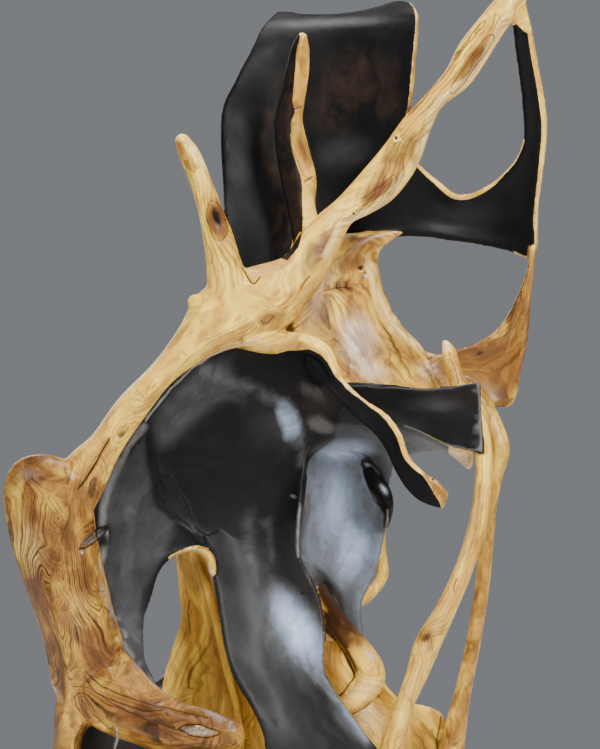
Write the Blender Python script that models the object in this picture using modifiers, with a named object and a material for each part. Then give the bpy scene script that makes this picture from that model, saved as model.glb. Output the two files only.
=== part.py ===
"""Elk carved from one hollow teak root, standing on a low root foot.

Metres, +Z up. The front of the carving looks towards -Y. The origin lies on
the flat underside, in the middle of the carving's bounding box.
"""

import math

import bmesh
import bpy
import numpy as np
from mathutils import Matrix, Vector

# Driving sizes, in metres.
HEIGHT = 1.30  # underside to the tip of the antler
WALL = 0.013  # thickness of the hollowed walls
PALM_WALL = 0.015  # thickness of the broad upper palm
FOOT_RISE = 0.115  # height of the root foot where it is thickest
FOOT_WIDTH = 0.66
FOOT_DEPTH = 0.44
LOBE_SWELL = 0.014  # how far the foot's narrow lobes stand out
BROAD_SWELL = 0.0084  # how far its broad lobes stand out
GRAIN = 0.0045  # size of the smallest form that the union keeps

# The pose is laid out in steps, a share of the height: across from the left,
# down from the top, and back from the middle of the depth in longer steps.
STEPS_HIGH = 867
STEP = HEIGHT / STEPS_HIGH
BACK_STRETCH = 1.4  # how much longer the steps back are
MIDDLE_ACROSS = 276
GROUND_DOWN = 859

# The limbs and the walls.
SECTION_SIDES = 20  # points round a limb
SPAN_CUTS = 5  # sections between two stations of a limb
SQUARENESS = 2.4  # power of a limb's rounded section, 2 being an ellipse
CAP_RINGS = 4  # rings that round off a limb's end
CAP_OPEN = 0.4  # share of a ring's step that keeps the last of them from closing to a point
SHEET_SPAN_CUTS = 6  # rows between two stations of a wall
SHEET_CUTS = 14  # points across a wall

# The root foot: its middle in steps, its lobes with their turns in radians, and
# its levels as (share of the rise, share of the spread), the first cut off flat.
FOOT_ACROSS = 262
FOOT_BACK = 2
FOOT_SIDES = 64  # points round the foot
NARROW_LOBES = 7
NARROW_TURN = 0.8
BROAD_LOBES = 3
BROAD_TURN = 2.1
FOOT_LEVELS = (
    (-0.1, 1.0), (0.1, 1.0), (0.3, 0.96), (0.5, 0.87),
    (0.7, 0.75), (0.88, 0.58), (1.0, 0.34),
)

# The union of all the forms.
EASE = 0.5  # share of the way that one smoothing round moves a point
EASE_ROUNDS = 3
FACETS = 9200  # triangles of the finished solid
BLOCK_SPREAD = 4  # size of the block under the ground, in widths and depths of the foot
BLOCK_THICKNESS = 1.0  # metres

# Limbs: (across, down, back, width in the front view, thickness in depth).
LIMBS = {
    "body": [
        (62, 845, -24, 78, 76), (66, 795, -27, 44, 56), (68, 749, -32, 28, 46),
        (73, 720, -36, 36, 48), (86, 692, -40, 66, 52), (88, 655, -42, 78, 56),
        (78, 615, -42, 76, 58), (63, 563, -42, 83, 58), (54, 525, -43, 87, 58),
        (51, 495, -44, 90, 58), (56, 476, -46, 86, 54),
    ],
    "neck": [
        (60, 522, -41, 50, 42), (87, 473, -46, 48, 48), (108, 444, -49, 34, 46),
        (134, 407, -51, 32, 43), (166, 371, -50, 27, 40), (195, 343, -48, 42, 40),
        (225, 317, -44, 70, 42), (265, 300, -40, 72, 42), (299, 275, -34, 48, 39),
        (318, 247, -28, 43, 36), (336, 223, -22, 35, 34), (357, 203, -16, 37, 34),
        (378, 184, -12, 41, 34), (398, 156, -8, 39, 33), (417, 126, -6, 33, 32),
        (437, 101, -4, 28, 30), (459, 76, -2, 29, 30), (475, 52, 0, 29, 30),
        (490, 28, 0, 29, 28), (507, 7, 2, 27, 26), (519, -1, 3, 15, 18),
    ],
    "left_tine": [
        (232, 305, -45, 50, 38), (224, 264, -46, 37, 35), (218, 236, -47, 31, 32),
        (210, 208, -48, 25, 28), (200, 180, -48, 23, 26), (190, 156, -47, 22, 22),
        (183, 145, -46, 13, 14),
    ],
    "spur": [
        (228, 326, -45, 40, 34), (207, 313, -46, 36, 32), (197, 303, -46, 17, 20),
    ],
    "middle_tine": [
        (308, 240, -4, 34, 30), (301, 208, 8, 30, 30), (298, 180, 11, 38, 32),
        (292, 150, 12, 36, 30), (288, 122, 12, 30, 28), (292, 98, 10, 27, 26),
        (297, 70, 8, 25, 24), (300, 48, 6, 19, 20), (302, 38, 5, 11, 12),
    ],
    "arm": [
        (90, 658, -40, 66, 46), (114, 690, -48, 76, 52), (146, 711, -55, 62, 52),
        (178, 723, -61, 50, 46), (210, 728, -67, 40, 38), (230, 730, -70, 26, 28),
    ],
    "front_pole": [
        (360, 845, -38, 56, 52), (384, 770, -45, 31, 32), (402, 706, -47, 20, 23),
        (415, 673, -47, 23, 24), (426, 642, -46, 28, 26), (445, 606, -44, 22, 22),
        (462, 568, -41, 20, 22), (475, 528, -36, 20, 22), (481, 490, -29, 18, 20),
        (483, 455, -20, 18, 20), (478, 425, -8, 19, 20), (466, 400, 4, 18, 20),
        (455, 376, 10, 17, 18), (449, 352, 13, 15, 16), (446, 344, 14, 9, 12),
    ],
    "rear_pole": [
        (450, 845, 6, 54, 52), (450, 775, 12, 28, 28), (455, 735, 18, 23, 24),
        (464, 690, 22, 17, 20), (473, 648, 24, 15, 20), (481, 600, 26, 15, 20),
        (486, 555, 28, 15, 20), (489, 510, 30, 17, 20), (494, 476, 32, 20, 20),
        (500, 451, 34, 22, 22), (494, 428, 38, 22, 22), (484, 408, 44, 21, 22),
        (468, 388, 50, 20, 20),
    ],
    "elbow": [
        (316, 588, 28, 18, 18), (328, 612, 22, 19, 20), (345, 634, 14, 22, 22),
        (362, 656, 8, 27, 24), (370, 678, 4, 30, 26), (360, 698, 2, 24, 22),
        (342, 709, 4, 20, 20), (324, 722, 10, 18, 18),
    ],
    "hood_ridge": [
        (238, 338, -40, 20, 26), (268, 344, -43, 20, 24), (300, 343, -44, 21, 22),
        (322, 352, -46, 18, 18), (334, 372, -49, 12, 16),
    ],
    "eye_knot": [
        (374, 462, 36, 16, 18), (383, 484, 32, 20, 24), (384, 506, 32, 20, 24),
        (380, 526, 38, 13, 16),
    ],
    "backing": [
        (382, 515, 50, 12, 14), (381, 550, 54, 12, 14), (383, 577, 52, 12, 14),
        (369, 598, 46, 12, 14), (358, 612, 40, 12, 14),
    ],
    "spine": [
        (236, 845, 58, 96, 56), (238, 770, 62, 62, 30), (234, 700, 68, 52, 26),
        (226, 620, 74, 54, 26), (222, 560, 71, 60, 28), (226, 500, 57, 60, 28),
        (240, 440, 40, 56, 26), (262, 385, 15, 56, 26), (284, 335, 8, 60, 26),
        (300, 270, 27, 46, 24), (312, 205, 56, 34, 20), (318, 150, 70, 20, 14),
    ],
    "left_root": [
        (142, 845, 44, 70, 56), (152, 775, 54, 32, 28), (170, 710, 58, 24, 24),
        (188, 640, 62, 20, 22), (190, 570, 62, 22, 22), (191, 505, 50, 26, 24),
        (192, 458, 35, 26, 20),
    ],
    "right_root": [
        (330, 845, 58, 70, 50), (324, 770, 62, 32, 30), (326, 690, 58, 26, 26),
        (338, 610, 56, 24, 24), (350, 545, 66, 26, 24), (350, 480, 64, 26, 24),
        (352, 432, 52, 30, 24), (360, 385, 26, 32, 24), (358, 320, 40, 30, 24),
        (350, 258, 52, 28, 22), (344, 215, 62, 20, 14),
    ],
    "column_rim": [
        (190, 545, 66, 9, 14), (205, 585, 64, 9, 14), (216, 625, 60, 9, 14),
        (226, 670, 56, 9, 14), (237, 718, 50, 9, 14), (245, 800, 44, 12, 14),
    ],
}

# Walls: the two long edges as (across, down, back), station by station, and how
# far the middle of the wall lies behind the straight line between them.
WALLS = {
    "palm": {
        "first": [
            (270, 13, 92), (250, 43, 66), (231, 80, 56), (222, 125, 50),
            (224, 185, 38), (228, 250, 6), (246, 320, -20), (264, 385, 4),
        ],
        "second": [
            (404, -2, 84), (419, 12, 54), (416, 55, 46), (411, 104, 40),
            (400, 150, 36), (375, 240, 34), (372, 330, 26), (362, 385, 10),
        ],
        "hollow": [4, 10, 14, 16, 14, 12, 8, 4],
        "wall": PALM_WALL,
    },
    "band": {
        "first": [
            (404, 142, 36), (420, 164, 38), (438, 180, 42), (455, 193, 46),
            (473, 193, 48), (493, 183, 46), (507, 170, 43), (518, 157, 40),
            (524, 140, 34), (525, 118, 27), (522, 85, 19), (517, 52, 11),
            (512, 18, 4), (508, -1, 2),
        ],
        "second": [
            (338, 240, 46), (392, 236, 48), (425, 235, 50), (450, 238, 52),
            (478, 242, 52), (508, 249, 49), (536, 256, 42), (538, 215, 40),
            (542, 180, 36), (547, 132, 27), (544, 100, 19), (537, 62, 11),
            (531, 30, 5), (524, -5, 3),
        ],
        "hollow": [2, 5, 8, 8, 8, 7, 4, 3, 3, 3, 3, 3, 2, 1],
        "wall": WALL,
    },
    "cheek": {
        "first": [
            (318, 236, 36), (300, 262, 20), (292, 300, 4), (292, 332, -10),
            (302, 358, -20), (320, 380, -20), (340, 398, -14),
        ],
        "second": [
            (403, 231, 48), (379, 251, 46), (381, 282, 44), (396, 320, 42),
            (422, 348, 42), (432, 374, 38), (442, 398, 32),
        ],
        "hollow": [0, -5, -8, -8, -6, -4, -2],
        "wall": WALL,
    },
    "wing": {
        "first": [
            (394, 314, 42), (408, 337, 43), (424, 350, 44), (440, 354, 46),
            (462, 347, 50), (482, 341, 53), (500, 328, 54), (511, 312, 53),
            (518, 297, 50), (524, 282, 46), (529, 266, 42), (530, 246, 40),
        ],
        "second": [
            (428, 384, 34), (436, 398, 36), (448, 406, 40), (462, 410, 44),
            (480, 411, 48), (498, 408, 52), (514, 404, 54), (521, 374, 54),
            (527, 346, 52), (531, 305, 48), (535, 272, 43), (537, 244, 40),
        ],
        "hollow": [2, 3, 4, 4, 4, 4, 4, 3, 2, 1, 0, 0],
        "wall": WALL,
    },
    "bowl": {
        "first": [
            (88, 600, -32), (86, 545, -34), (94, 490, -36), (116, 446, -42),
            (150, 400, -44), (198, 352, -42), (250, 332, -36), (300, 336, -38),
            (330, 360, -44), (348, 404, -38),
        ],
        "second": [
            (145, 611, 10), (161, 568, 12), (182, 553, 20), (207, 552, 27),
            (234, 578, 25), (262, 594, 28), (288, 578, 26), (301, 512, 24),
            (305, 466, 28), (328, 440, 34),
        ],
        "hollow": [3, 8, 22, 34, 38, 36, 32, 26, 18, 6],
        "wall": WALL,
    },
    "left_panel": {
        "first": [
            (88, 590, -32), (90, 614, -32), (100, 642, -32), (118, 670, -34),
            (138, 700, -40),
        ],
        "second": [
            (150, 590, 10), (143, 618, 10), (142, 642, 6), (145, 664, -2),
            (158, 688, -14),
        ],
        "hollow": [5, 4, 2, 2, 1],
        "wall": WALL,
    },
    "tongue": {
        "first": [
            (203, 538, 28), (211, 566, 22), (219, 610, 10), (224, 642, 2),
            (233, 672, -5), (252, 706, -13), (263, 730, -17), (268, 755, -19),
            (276, 792, -16), (284, 835, -10),
        ],
        "second": [
            (301, 512, 24), (298, 552, 20), (314, 594, 10), (322, 628, 2),
            (323, 668, -8), (344, 704, -18), (364, 732, -24), (381, 754, -28),
            (393, 790, -26), (400, 835, -18),
        ],
        "hollow": [12, 14, 15, 15, 13, 12, 11, 10, 8, 6],
        "wall": WALL,
    },
    "inner_face": {
        "first": [
            (320, 434, 36), (308, 456, 38), (303, 482, 36), (300, 508, 34),
            (297, 542, 34), (303, 574, 34), (313, 606, 34), (322, 642, 30),
        ],
        "second": [
            (380, 430, 36), (392, 462, 40), (388, 486, 42), (389, 514, 44),
            (383, 542, 44), (375, 572, 42), (361, 606, 38), (364, 642, 32),
        ],
        "hollow": [6, 14, 17, 18, 16, 13, 9, 6],
        "wall": WALL,
    },
    "horn": {
        "first": [
            (320, 384, -24), (352, 384, -22), (391, 386, -26), (421, 390, -30),
            (450, 387, -34), (479, 383, -38),
        ],
        "second": [
            (340, 422, 6), (368, 425, 8), (397, 423, -4), (420, 429, -14),
            (446, 444, -22), (482, 452, -28),
        ],
        "hollow": [2, 4, 8, 8, 8, 8],
        "wall": WALL,
    },
    "horn_underside": {
        "first": [
            (334, 412, 2), (356, 420, 8), (378, 422, 4), (400, 423, -4),
            (421, 430, -12), (446, 443, -18), (472, 449, -20),
        ],
        "second": [
            (318, 446, 36), (348, 450, 42), (382, 456, 40), (409, 454, 38),
            (428, 450, 36), (450, 451, 32), (471, 469, 26),
        ],
        "hollow": [4, 4, 3, 3, 4, 4, 2],
        "wall": WALL,
    },
    "strand": {
        "first": [
            (308, 340, -42), (324, 352, -46), (340, 378, -51), (362, 400, -55),
            (384, 414, -59), (398, 432, -62), (407, 456, -64), (424, 476, -66),
            (441, 491, -66),
        ],
        "second": [
            (304, 366, -34), (316, 378, -38), (330, 390, -43), (350, 410, -49),
            (373, 431, -54), (386, 450, -58), (396, 471, -62), (415, 491, -65),
            (434, 502, -66),
        ],
        "hollow": [1, 2, 3, 4, 4, 4, 3, 2, 0],
        "wall": WALL,
    },
    "column": {
        "first": [
            (180, 470, 30), (176, 512, 48), (175, 552, 62), (178, 592, 66),
            (180, 622, 64), (168, 662, 58), (158, 702, 54), (154, 752, 50),
            (150, 838, 44),
        ],
        "second": [
            (274, 470, 38), (272, 512, 52), (268, 552, 64), (276, 592, 68),
            (286, 622, 68), (296, 660, 64), (304, 702, 58), (310, 752, 52),
            (314, 838, 46),
        ],
        "hollow": [2, 5, 6, 6, 6, 8, 8, 8, 6],
        "wall": WALL,
    },
    "lower_panel": {
        "first": [
            (316, 616, 42), (319, 660, 40), (324, 696, 36), (328, 724, 32),
            (332, 765, 28), (336, 835, 24),
        ],
        "second": [
            (357, 622, 42), (376, 672, 42), (404, 705, 42), (443, 716, 38),
            (450, 765, 32), (452, 835, 26),
        ],
        "hollow": [6, 8, 8, 8, 8, 8],
        "wall": WALL,
    },
    "skirt": {
        "first": [
            (64, 662, -26), (70, 688, 6), (88, 705, 34), (120, 704, 50),
            (162, 680, 57),
        ],
        "second": [
            (64, 838, -20), (72, 838, 8), (92, 838, 34), (122, 838, 46),
            (158, 838, 46),
        ],
        "hollow": [-2, 2, 4, 4, 2],
        "wall": WALL,
    },
}


def place(across, down, back):
    """The point of the carving at a place of its layout."""
    steps = Vector((across - MIDDLE_ACROSS, back * BACK_STRETCH, GROUND_DOWN - down))
    return steps * STEP


def through(values, cuts):
    """A smooth run of rows that passes through all the given ones."""
    rows = np.array(values, float)
    if rows.ndim == 1:
        rows = rows[:, None]
    ends = np.vstack([2 * rows[0] - rows[1], rows, 2 * rows[-1] - rows[-2]])
    run = []
    for i in range(len(rows) - 1):
        before, start, end, after = ends[i : i + 4]
        for share in np.linspace(0, 1, cuts, endpoint=False):
            run.append(
                start
                + 0.5 * share * (end - before)
                + share**2 * (before - 2.5 * start + 2 * end - 0.5 * after)
                + share**3 * (1.5 * (start - end) + 0.5 * (after - before))
            )
    run.append(rows[-1])
    return np.array(run)


def section(width, thickness):
    """A rounded, slightly square section as (sideways, depth) pairs."""
    points = []
    for i in range(SECTION_SIDES):
        turn = 2 * math.pi * i / SECTION_SIDES
        side = math.copysign(abs(math.cos(turn)) ** (2 / SQUARENESS), math.cos(turn))
        deep = math.copysign(abs(math.sin(turn)) ** (2 / SQUARENESS), math.sin(turn))
        points.append((side * width / 2, deep * thickness / 2))
    return points


def rounded_ends(run, centres):
    """The stations of a limb with smaller ones added that round off both ends."""
    sizes = run[:, 3:] * STEP
    stations = [(centre, *size) for centre, size in zip(centres, sizes)]
    start_way = (centres[0] - centres[1]).normalized()
    end_way = (centres[-1] - centres[-2]).normalized()
    for end, way in ((0, start_way), (-1, end_way)):
        width, thickness = sizes[end]
        for i in range(1, CAP_RINGS + 1):
            turn = 0.5 * math.pi * i / (CAP_RINGS + CAP_OPEN)
            centre = centres[end] + way * (0.5 * min(width, thickness) * math.sin(turn))
            cap = (centre, width * math.cos(turn), thickness * math.cos(turn))
            stations.insert(0 if end == 0 else len(stations), cap)
    return stations


def limb(name):
    """A loft through unlike rounded sections along a limb's line."""
    run = through(LIMBS[name], SPAN_CUTS)
    centres = [place(*row[:3]) for row in run]
    stations = rounded_ends(run, centres)
    rings = []
    for i, (centre, width, thickness) in enumerate(stations):
        before = stations[max(i - 1, 0)][0]
        after = stations[min(i + 1, len(stations) - 1)][0]
        along = (after - before).normalized()
        sideways = Vector((0, 1, 0)).cross(along).normalized()
        deep = along.cross(sideways)
        outline = section(width, thickness)
        rings.append([centre + sideways * side + deep * depth for side, depth in outline])
    return lofted(rings, name)


def wall(name):
    """A hollowed wall: a curved surface between its two edges, thickened."""
    spec = WALLS[name]
    first = through(spec["first"], SHEET_SPAN_CUTS)
    second = through(spec["second"], SHEET_SPAN_CUTS)
    hollow = through(spec["hollow"], SHEET_SPAN_CUTS)[:, 0]
    shape = bmesh.new()
    rows = []
    for edge, other, sink in zip(first, second, hollow):
        row = []
        for share in np.linspace(0, 1, SHEET_CUTS):
            across, down, back = edge + share * (other - edge)
            back += sink * 4 * share * (1 - share)
            row.append(shape.verts.new(place(across, down, back)))
        rows.append(row)
    for row, following in zip(rows, rows[1:]):
        for i in range(SHEET_CUTS - 1):
            shape.faces.new((row[i], row[i + 1], following[i + 1], following[i]))
    bmesh.ops.recalc_face_normals(shape, faces=shape.faces)
    surface = made(shape, name)
    thicken = surface.modifiers.new("wall", "SOLIDIFY")
    thicken.thickness = spec["wall"]
    thicken.offset = 0
    thicken.use_even_offset = False
    return surface


def foot():
    """The low root foot: a lobed stump that swells towards the ground."""
    middle = place(FOOT_ACROSS, GROUND_DOWN, FOOT_BACK)
    rings = []
    for rise, spread in FOOT_LEVELS:
        ring = []
        for i in range(FOOT_SIDES):
            turn = 2 * math.pi * i / FOOT_SIDES
            swell = LOBE_SWELL * math.cos(NARROW_LOBES * turn + NARROW_TURN)
            swell += BROAD_SWELL * math.cos(BROAD_LOBES * turn + BROAD_TURN)
            x = (0.5 * FOOT_WIDTH + swell) * spread * math.cos(turn)
            y = (0.5 * FOOT_DEPTH + swell) * spread * math.sin(turn)
            ring.append(middle + Vector((x, y, rise * FOOT_RISE)))
        rings.append(ring)
    return lofted(rings, "foot")


def lofted(rings, name):
    """A skin over rings of points, closed at both ends."""
    shape = bmesh.new()
    rows = [[shape.verts.new(point) for point in ring] for ring in rings]
    for row, following in zip(rows, rows[1:]):
        for i in range(len(row)):
            j = (i + 1) % len(row)
            shape.faces.new((row[i], row[j], following[j], following[i]))
    shape.faces.new(reversed(rows[0]))
    shape.faces.new(rows[-1])
    bmesh.ops.recalc_face_normals(shape, faces=shape.faces)
    return made(shape, name)


def made(shape, name):
    """An object that holds the finished bmesh."""
    mesh = bpy.data.meshes.new(name)
    shape.to_mesh(mesh)
    shape.free()
    obj = bpy.data.objects.new(name, mesh)
    bpy.context.scene.collection.objects.link(obj)
    return obj


def evaluated_mesh(obj):
    """The object's mesh with its modifiers applied."""
    graph = bpy.context.evaluated_depsgraph_get()
    return bpy.data.meshes.new_from_object(obj.evaluated_get(graph))


def fused(pieces, name):
    """One closed skin round all the pieces, blended a little where they meet."""
    shape = bmesh.new()
    for piece in pieces:
        mesh = evaluated_mesh(piece)
        shape.from_mesh(mesh)
        bpy.data.meshes.remove(mesh)
        bpy.data.objects.remove(piece)
    bmesh.ops.recalc_face_normals(shape, faces=shape.faces)
    whole = made(shape, name)
    skin = whole.modifiers.new("skin", "REMESH")
    skin.mode = "VOXEL"
    skin.voxel_size = GRAIN
    ease = whole.modifiers.new("ease", "SMOOTH")
    ease.factor = EASE
    ease.iterations = EASE_ROUNDS
    whole.data = evaluated_mesh(whole)
    whole.modifiers.clear()
    thin = whole.modifiers.new("facets", "DECIMATE")
    thin.use_collapse_triangulate = True
    thin.ratio = FACETS / (2 * len(whole.data.polygons))
    whole.data = evaluated_mesh(whole)
    whole.modifiers.clear()
    return whole


def ground_block(collection):
    """The cutter that leaves a flat underside at the height zero."""
    bpy.ops.mesh.primitive_cube_add(size=1, location=(0, 0, -BLOCK_THICKNESS / 2))
    block = bpy.context.object
    block.name = "ground"
    block.scale = (BLOCK_SPREAD * FOOT_WIDTH, BLOCK_SPREAD * FOOT_DEPTH, BLOCK_THICKNESS)
    block.hide_render = True
    block.display_type = "WIRE"
    for holder in block.users_collection:
        holder.objects.unlink(block)
    collection.objects.link(block)
    return block


def wood():
    """Satin oiled teak."""
    material = bpy.data.materials.new("teak")
    material.use_nodes = True
    shader = material.node_tree.nodes["Principled BSDF"]
    shader.inputs["Base Color"].default_value = (0.55, 0.30, 0.11, 1)
    shader.inputs["Roughness"].default_value = 0.4
    shader.inputs["Metallic"].default_value = 0
    return material


def main():
    for obj in list(bpy.data.objects):
        bpy.data.objects.remove(obj)
    carving_parts = bpy.data.collections.new("elk_carving_parts")
    cutters = bpy.data.collections.new("cutters")
    for collection in (carving_parts, cutters):
        bpy.context.scene.collection.children.link(collection)
    pieces = [limb(name) for name in LIMBS]
    pieces += [wall(name) for name in WALLS]
    pieces.append(foot())
    carving = fused(pieces, "elk_carving")
    corners = [Vector(corner) for corner in carving.bound_box]
    middle = (corners[0] + corners[6]) / 2
    carving.data.transform(Matrix.Translation((-middle.x, -middle.y, 0)))
    flat = carving.modifiers.new("flat underside", "BOOLEAN")
    flat.operation = "DIFFERENCE"
    flat.object = ground_block(cutters)
    carving.data.materials.append(wood())
    bpy.context.scene.collection.objects.unlink(carving)
    carving_parts.objects.link(carving)


main()
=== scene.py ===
# Elk carved from one hollow teak root: the whole form, its wood, its lacquer and its light
import math

import bpy
import numpy as np
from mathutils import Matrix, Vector, noise
from mathutils.bvhtree import BVHTree


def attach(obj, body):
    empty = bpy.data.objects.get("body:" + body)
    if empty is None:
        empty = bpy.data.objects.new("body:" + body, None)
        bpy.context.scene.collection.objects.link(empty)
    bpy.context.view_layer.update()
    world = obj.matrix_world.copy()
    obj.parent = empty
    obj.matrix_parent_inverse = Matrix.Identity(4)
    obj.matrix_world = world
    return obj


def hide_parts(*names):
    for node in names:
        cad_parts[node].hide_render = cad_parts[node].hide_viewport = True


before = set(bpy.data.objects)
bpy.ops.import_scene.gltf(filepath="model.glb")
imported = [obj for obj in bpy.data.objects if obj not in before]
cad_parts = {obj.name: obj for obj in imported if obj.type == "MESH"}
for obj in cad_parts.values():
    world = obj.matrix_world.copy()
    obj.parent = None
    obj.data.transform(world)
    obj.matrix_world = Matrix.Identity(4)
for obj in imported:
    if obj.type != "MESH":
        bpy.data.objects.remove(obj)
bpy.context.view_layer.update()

# The layout: steps across from the left, down from the top, and longer steps back in depth
layout = {
    "high": 1.30,  # metres from the ground to the tip of the antler
    "stepsHigh": 867,
    "backStretch": 1.4,
    "middleAcross": 276,
    "groundDown": 859,
    "aside": (-0.0019, -0.0154),  # metres, onto the middle of the carving's box
}
step = layout["high"] / layout["stepsHigh"]
backStep = step * layout["backStretch"]


def place(across, down, back):
    x = (np.asarray(across) - layout["middleAcross"]) * step + layout["aside"][0]
    y = np.asarray(back) * backStep + layout["aside"][1]
    z = (layout["groundDown"] - np.asarray(down)) * step
    return np.stack(np.broadcast_arrays(x, y, z), axis=-1).astype(float)


# The camera comes first
view = {"across": 600, "down": 749, "away": 12.0, "sensor": 36.0}
cameraSpot = place(view["across"] / 2, view["down"] / 2, 0)
bpy.ops.object.camera_add(
    location=(cameraSpot[0], -view["away"], cameraSpot[2]), rotation=(math.pi / 2, 0, 0)
)
camera = bpy.context.object
camera.name = "viewCamera"
camera.data.sensor_width = view["sensor"]
camera.data.lens = view["sensor"] * view["away"] / (view["down"] * step)
bpy.context.scene.camera = camera
print("camera set, lens", round(camera.data.lens, 1))


def seenAt(points):
    # where the camera sees each point, in steps across and down the picture
    nearer = view["away"] / (view["away"] + points[:, 1])
    across = (points[:, 0] - cameraSpot[0]) / step * nearer + view["across"] / 2
    down = view["down"] / 2 - (points[:, 2] - cameraSpot[2]) / step * nearer
    return np.stack([across, down], axis=1)


# Limbs: (across, down, back, width seen from the front, thickness in depth)
limbs = {
    "body": [(62, 845, -24, 78, 76), (66, 795, -27, 44, 56), (68, 749, -32, 28, 46),
        (73, 720, -36, 36, 48), (86, 692, -40, 66, 52), (88, 655, -42, 78, 56), (78, 615, -42, 76, 58),
        (63, 563, -42, 83, 58), (54, 525, -43, 87, 58), (51, 495, -44, 90, 58), (54, 482, -46, 86, 54)],
    "neck": [(60, 522, -41, 50, 42), (87, 473, -46, 48, 48), (108, 444, -49, 34, 46),
        (134, 407, -51, 32, 43), (166, 371, -50, 27, 40), (195, 343, -48, 42, 40),
        (225, 317, -44, 70, 42), (265, 300, -40, 72, 42), (299, 275, -34, 48, 39),
        (318, 247, -28, 43, 36), (332, 225, -23, 33, 34), (344, 212, -20, 28, 31),
        (360, 200, -16, 35, 33), (380, 183, -12, 42, 34), (400, 157, -8, 40, 33), (417, 125, -6, 30, 31),
        (434, 101, -4, 21, 27), (458, 77, -2, 28, 29), (473, 52, 0, 32, 30), (490, 28, 0, 29, 28),
        (507, 7, 2, 27, 26), (519, -1, 3, 15, 18)],
    "leftTine": [(232, 305, -45, 50, 38), (224, 264, -46, 37, 35), (218, 236, -47, 31, 32),
        (210, 208, -48, 25, 28), (200, 180, -48, 23, 26), (190, 156, -47, 22, 23),
        (184, 144, -46, 17, 18)],
    "spur": [(228, 326, -45, 40, 34), (207, 313, -46, 36, 32), (197, 303, -46, 17, 20)],
    "middleTine": [(308, 240, -4, 34, 30), (301, 208, 8, 30, 30), (298, 180, 11, 38, 32),
        (292, 150, 12, 36, 30), (288, 122, 12, 30, 28), (292, 98, 10, 27, 26), (297, 70, 8, 25, 24),
        (300, 48, 6, 19, 20), (302, 38, 5, 11, 12)],
    "arm": [(90, 658, -40, 66, 46), (114, 690, -48, 76, 52), (146, 711, -55, 62, 52),
        (178, 724, -61, 53, 47), (210, 729, -67, 46, 40), (231, 731, -70, 34, 30)],
    "frontPole": [(360, 845, -38, 56, 52), (384, 770, -45, 31, 32), (402, 706, -47, 20, 23),
        (415, 673, -47, 23, 24), (426, 642, -46, 28, 26), (445, 606, -44, 22, 22),
        (462, 568, -41, 20, 22), (475, 528, -36, 20, 22), (481, 490, -29, 18, 20),
        (483, 455, -20, 18, 20), (478, 425, -8, 19, 20), (466, 400, 4, 18, 20), (455, 376, 10, 17, 18),
        (449, 352, 13, 15, 16), (446, 344, 14, 9, 12)],
    "rearPole": [(450, 845, 6, 54, 52), (450, 775, 12, 28, 28), (455, 735, 18, 23, 24),
        (464, 690, 22, 17, 20), (473, 648, 24, 15, 20), (481, 600, 26, 15, 20), (486, 555, 28, 15, 20),
        (489, 510, 30, 17, 20), (494, 476, 32, 20, 20), (500, 451, 34, 22, 22), (494, 428, 38, 22, 22),
        (484, 408, 44, 21, 22), (468, 388, 50, 20, 20)],
    "elbow": [(315, 588, 44, 18, 18), (326, 607, 34, 22, 20), (345, 633, 19, 22, 22),
        (363, 656, 9, 27, 24), (371, 677, 3, 29, 26), (360, 698, 1, 23, 22), (342, 709, 4, 19, 20),
        (324, 722, 10, 17, 18)],
    "hoodRidge": [(238, 338, -40, 20, 26), (268, 344, -43, 20, 24), (300, 343, -44, 21, 22),
        (322, 352, -46, 18, 18), (334, 372, -49, 12, 16)],
    "eyeKnot": [(367, 464, 42, 12, 14), (374, 479, 36, 17, 20), (383, 496, 32, 18, 22),
        (388, 511, 35, 11, 16), (387, 527, 42, 5, 9)],
    "backing": [(382, 515, 50, 12, 14), (381, 550, 54, 12, 14), (383, 577, 52, 12, 14),
        (370, 597, 47, 10, 12), (362, 606, 46, 5, 8)],
    "spine": [(236, 845, 58, 96, 56), (238, 770, 62, 62, 30), (234, 700, 68, 52, 26),
        (226, 620, 74, 54, 26), (222, 560, 71, 60, 28), (226, 500, 57, 60, 28), (240, 440, 40, 56, 26),
        (262, 385, 15, 56, 26), (284, 335, 8, 60, 26), (300, 270, 27, 46, 24), (312, 205, 56, 34, 20),
        (318, 150, 70, 20, 14)],
    "leftRoot": [(142, 845, 44, 70, 56), (152, 775, 58, 32, 28), (180, 710, 70, 24, 24),
        (196, 640, 78, 20, 22), (198, 570, 78, 22, 22), (194, 505, 58, 26, 24), (192, 458, 35, 26, 20)],
    "rightRoot": [(330, 845, 58, 70, 50), (324, 770, 62, 32, 30), (326, 690, 58, 26, 26),
        (338, 610, 56, 24, 24), (350, 545, 66, 26, 24), (350, 480, 64, 26, 24), (352, 432, 52, 30, 24),
        (360, 385, 26, 32, 24), (358, 320, 40, 30, 24), (350, 258, 52, 28, 22), (344, 215, 62, 20, 14)],
    "columnRim": [(190, 545, 66, 9, 14), (205, 585, 64, 9, 14), (216, 625, 60, 9, 14),
        (226, 670, 56, 9, 14), (237, 718, 50, 9, 14), (245, 800, 44, 12, 14)],
    "archRoll": [(198, 551, 26, 7, 9), (205, 553, 23, 9, 12), (210, 561, 20, 9, 12),
        (212, 573, 18, 6, 8)],
}

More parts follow.
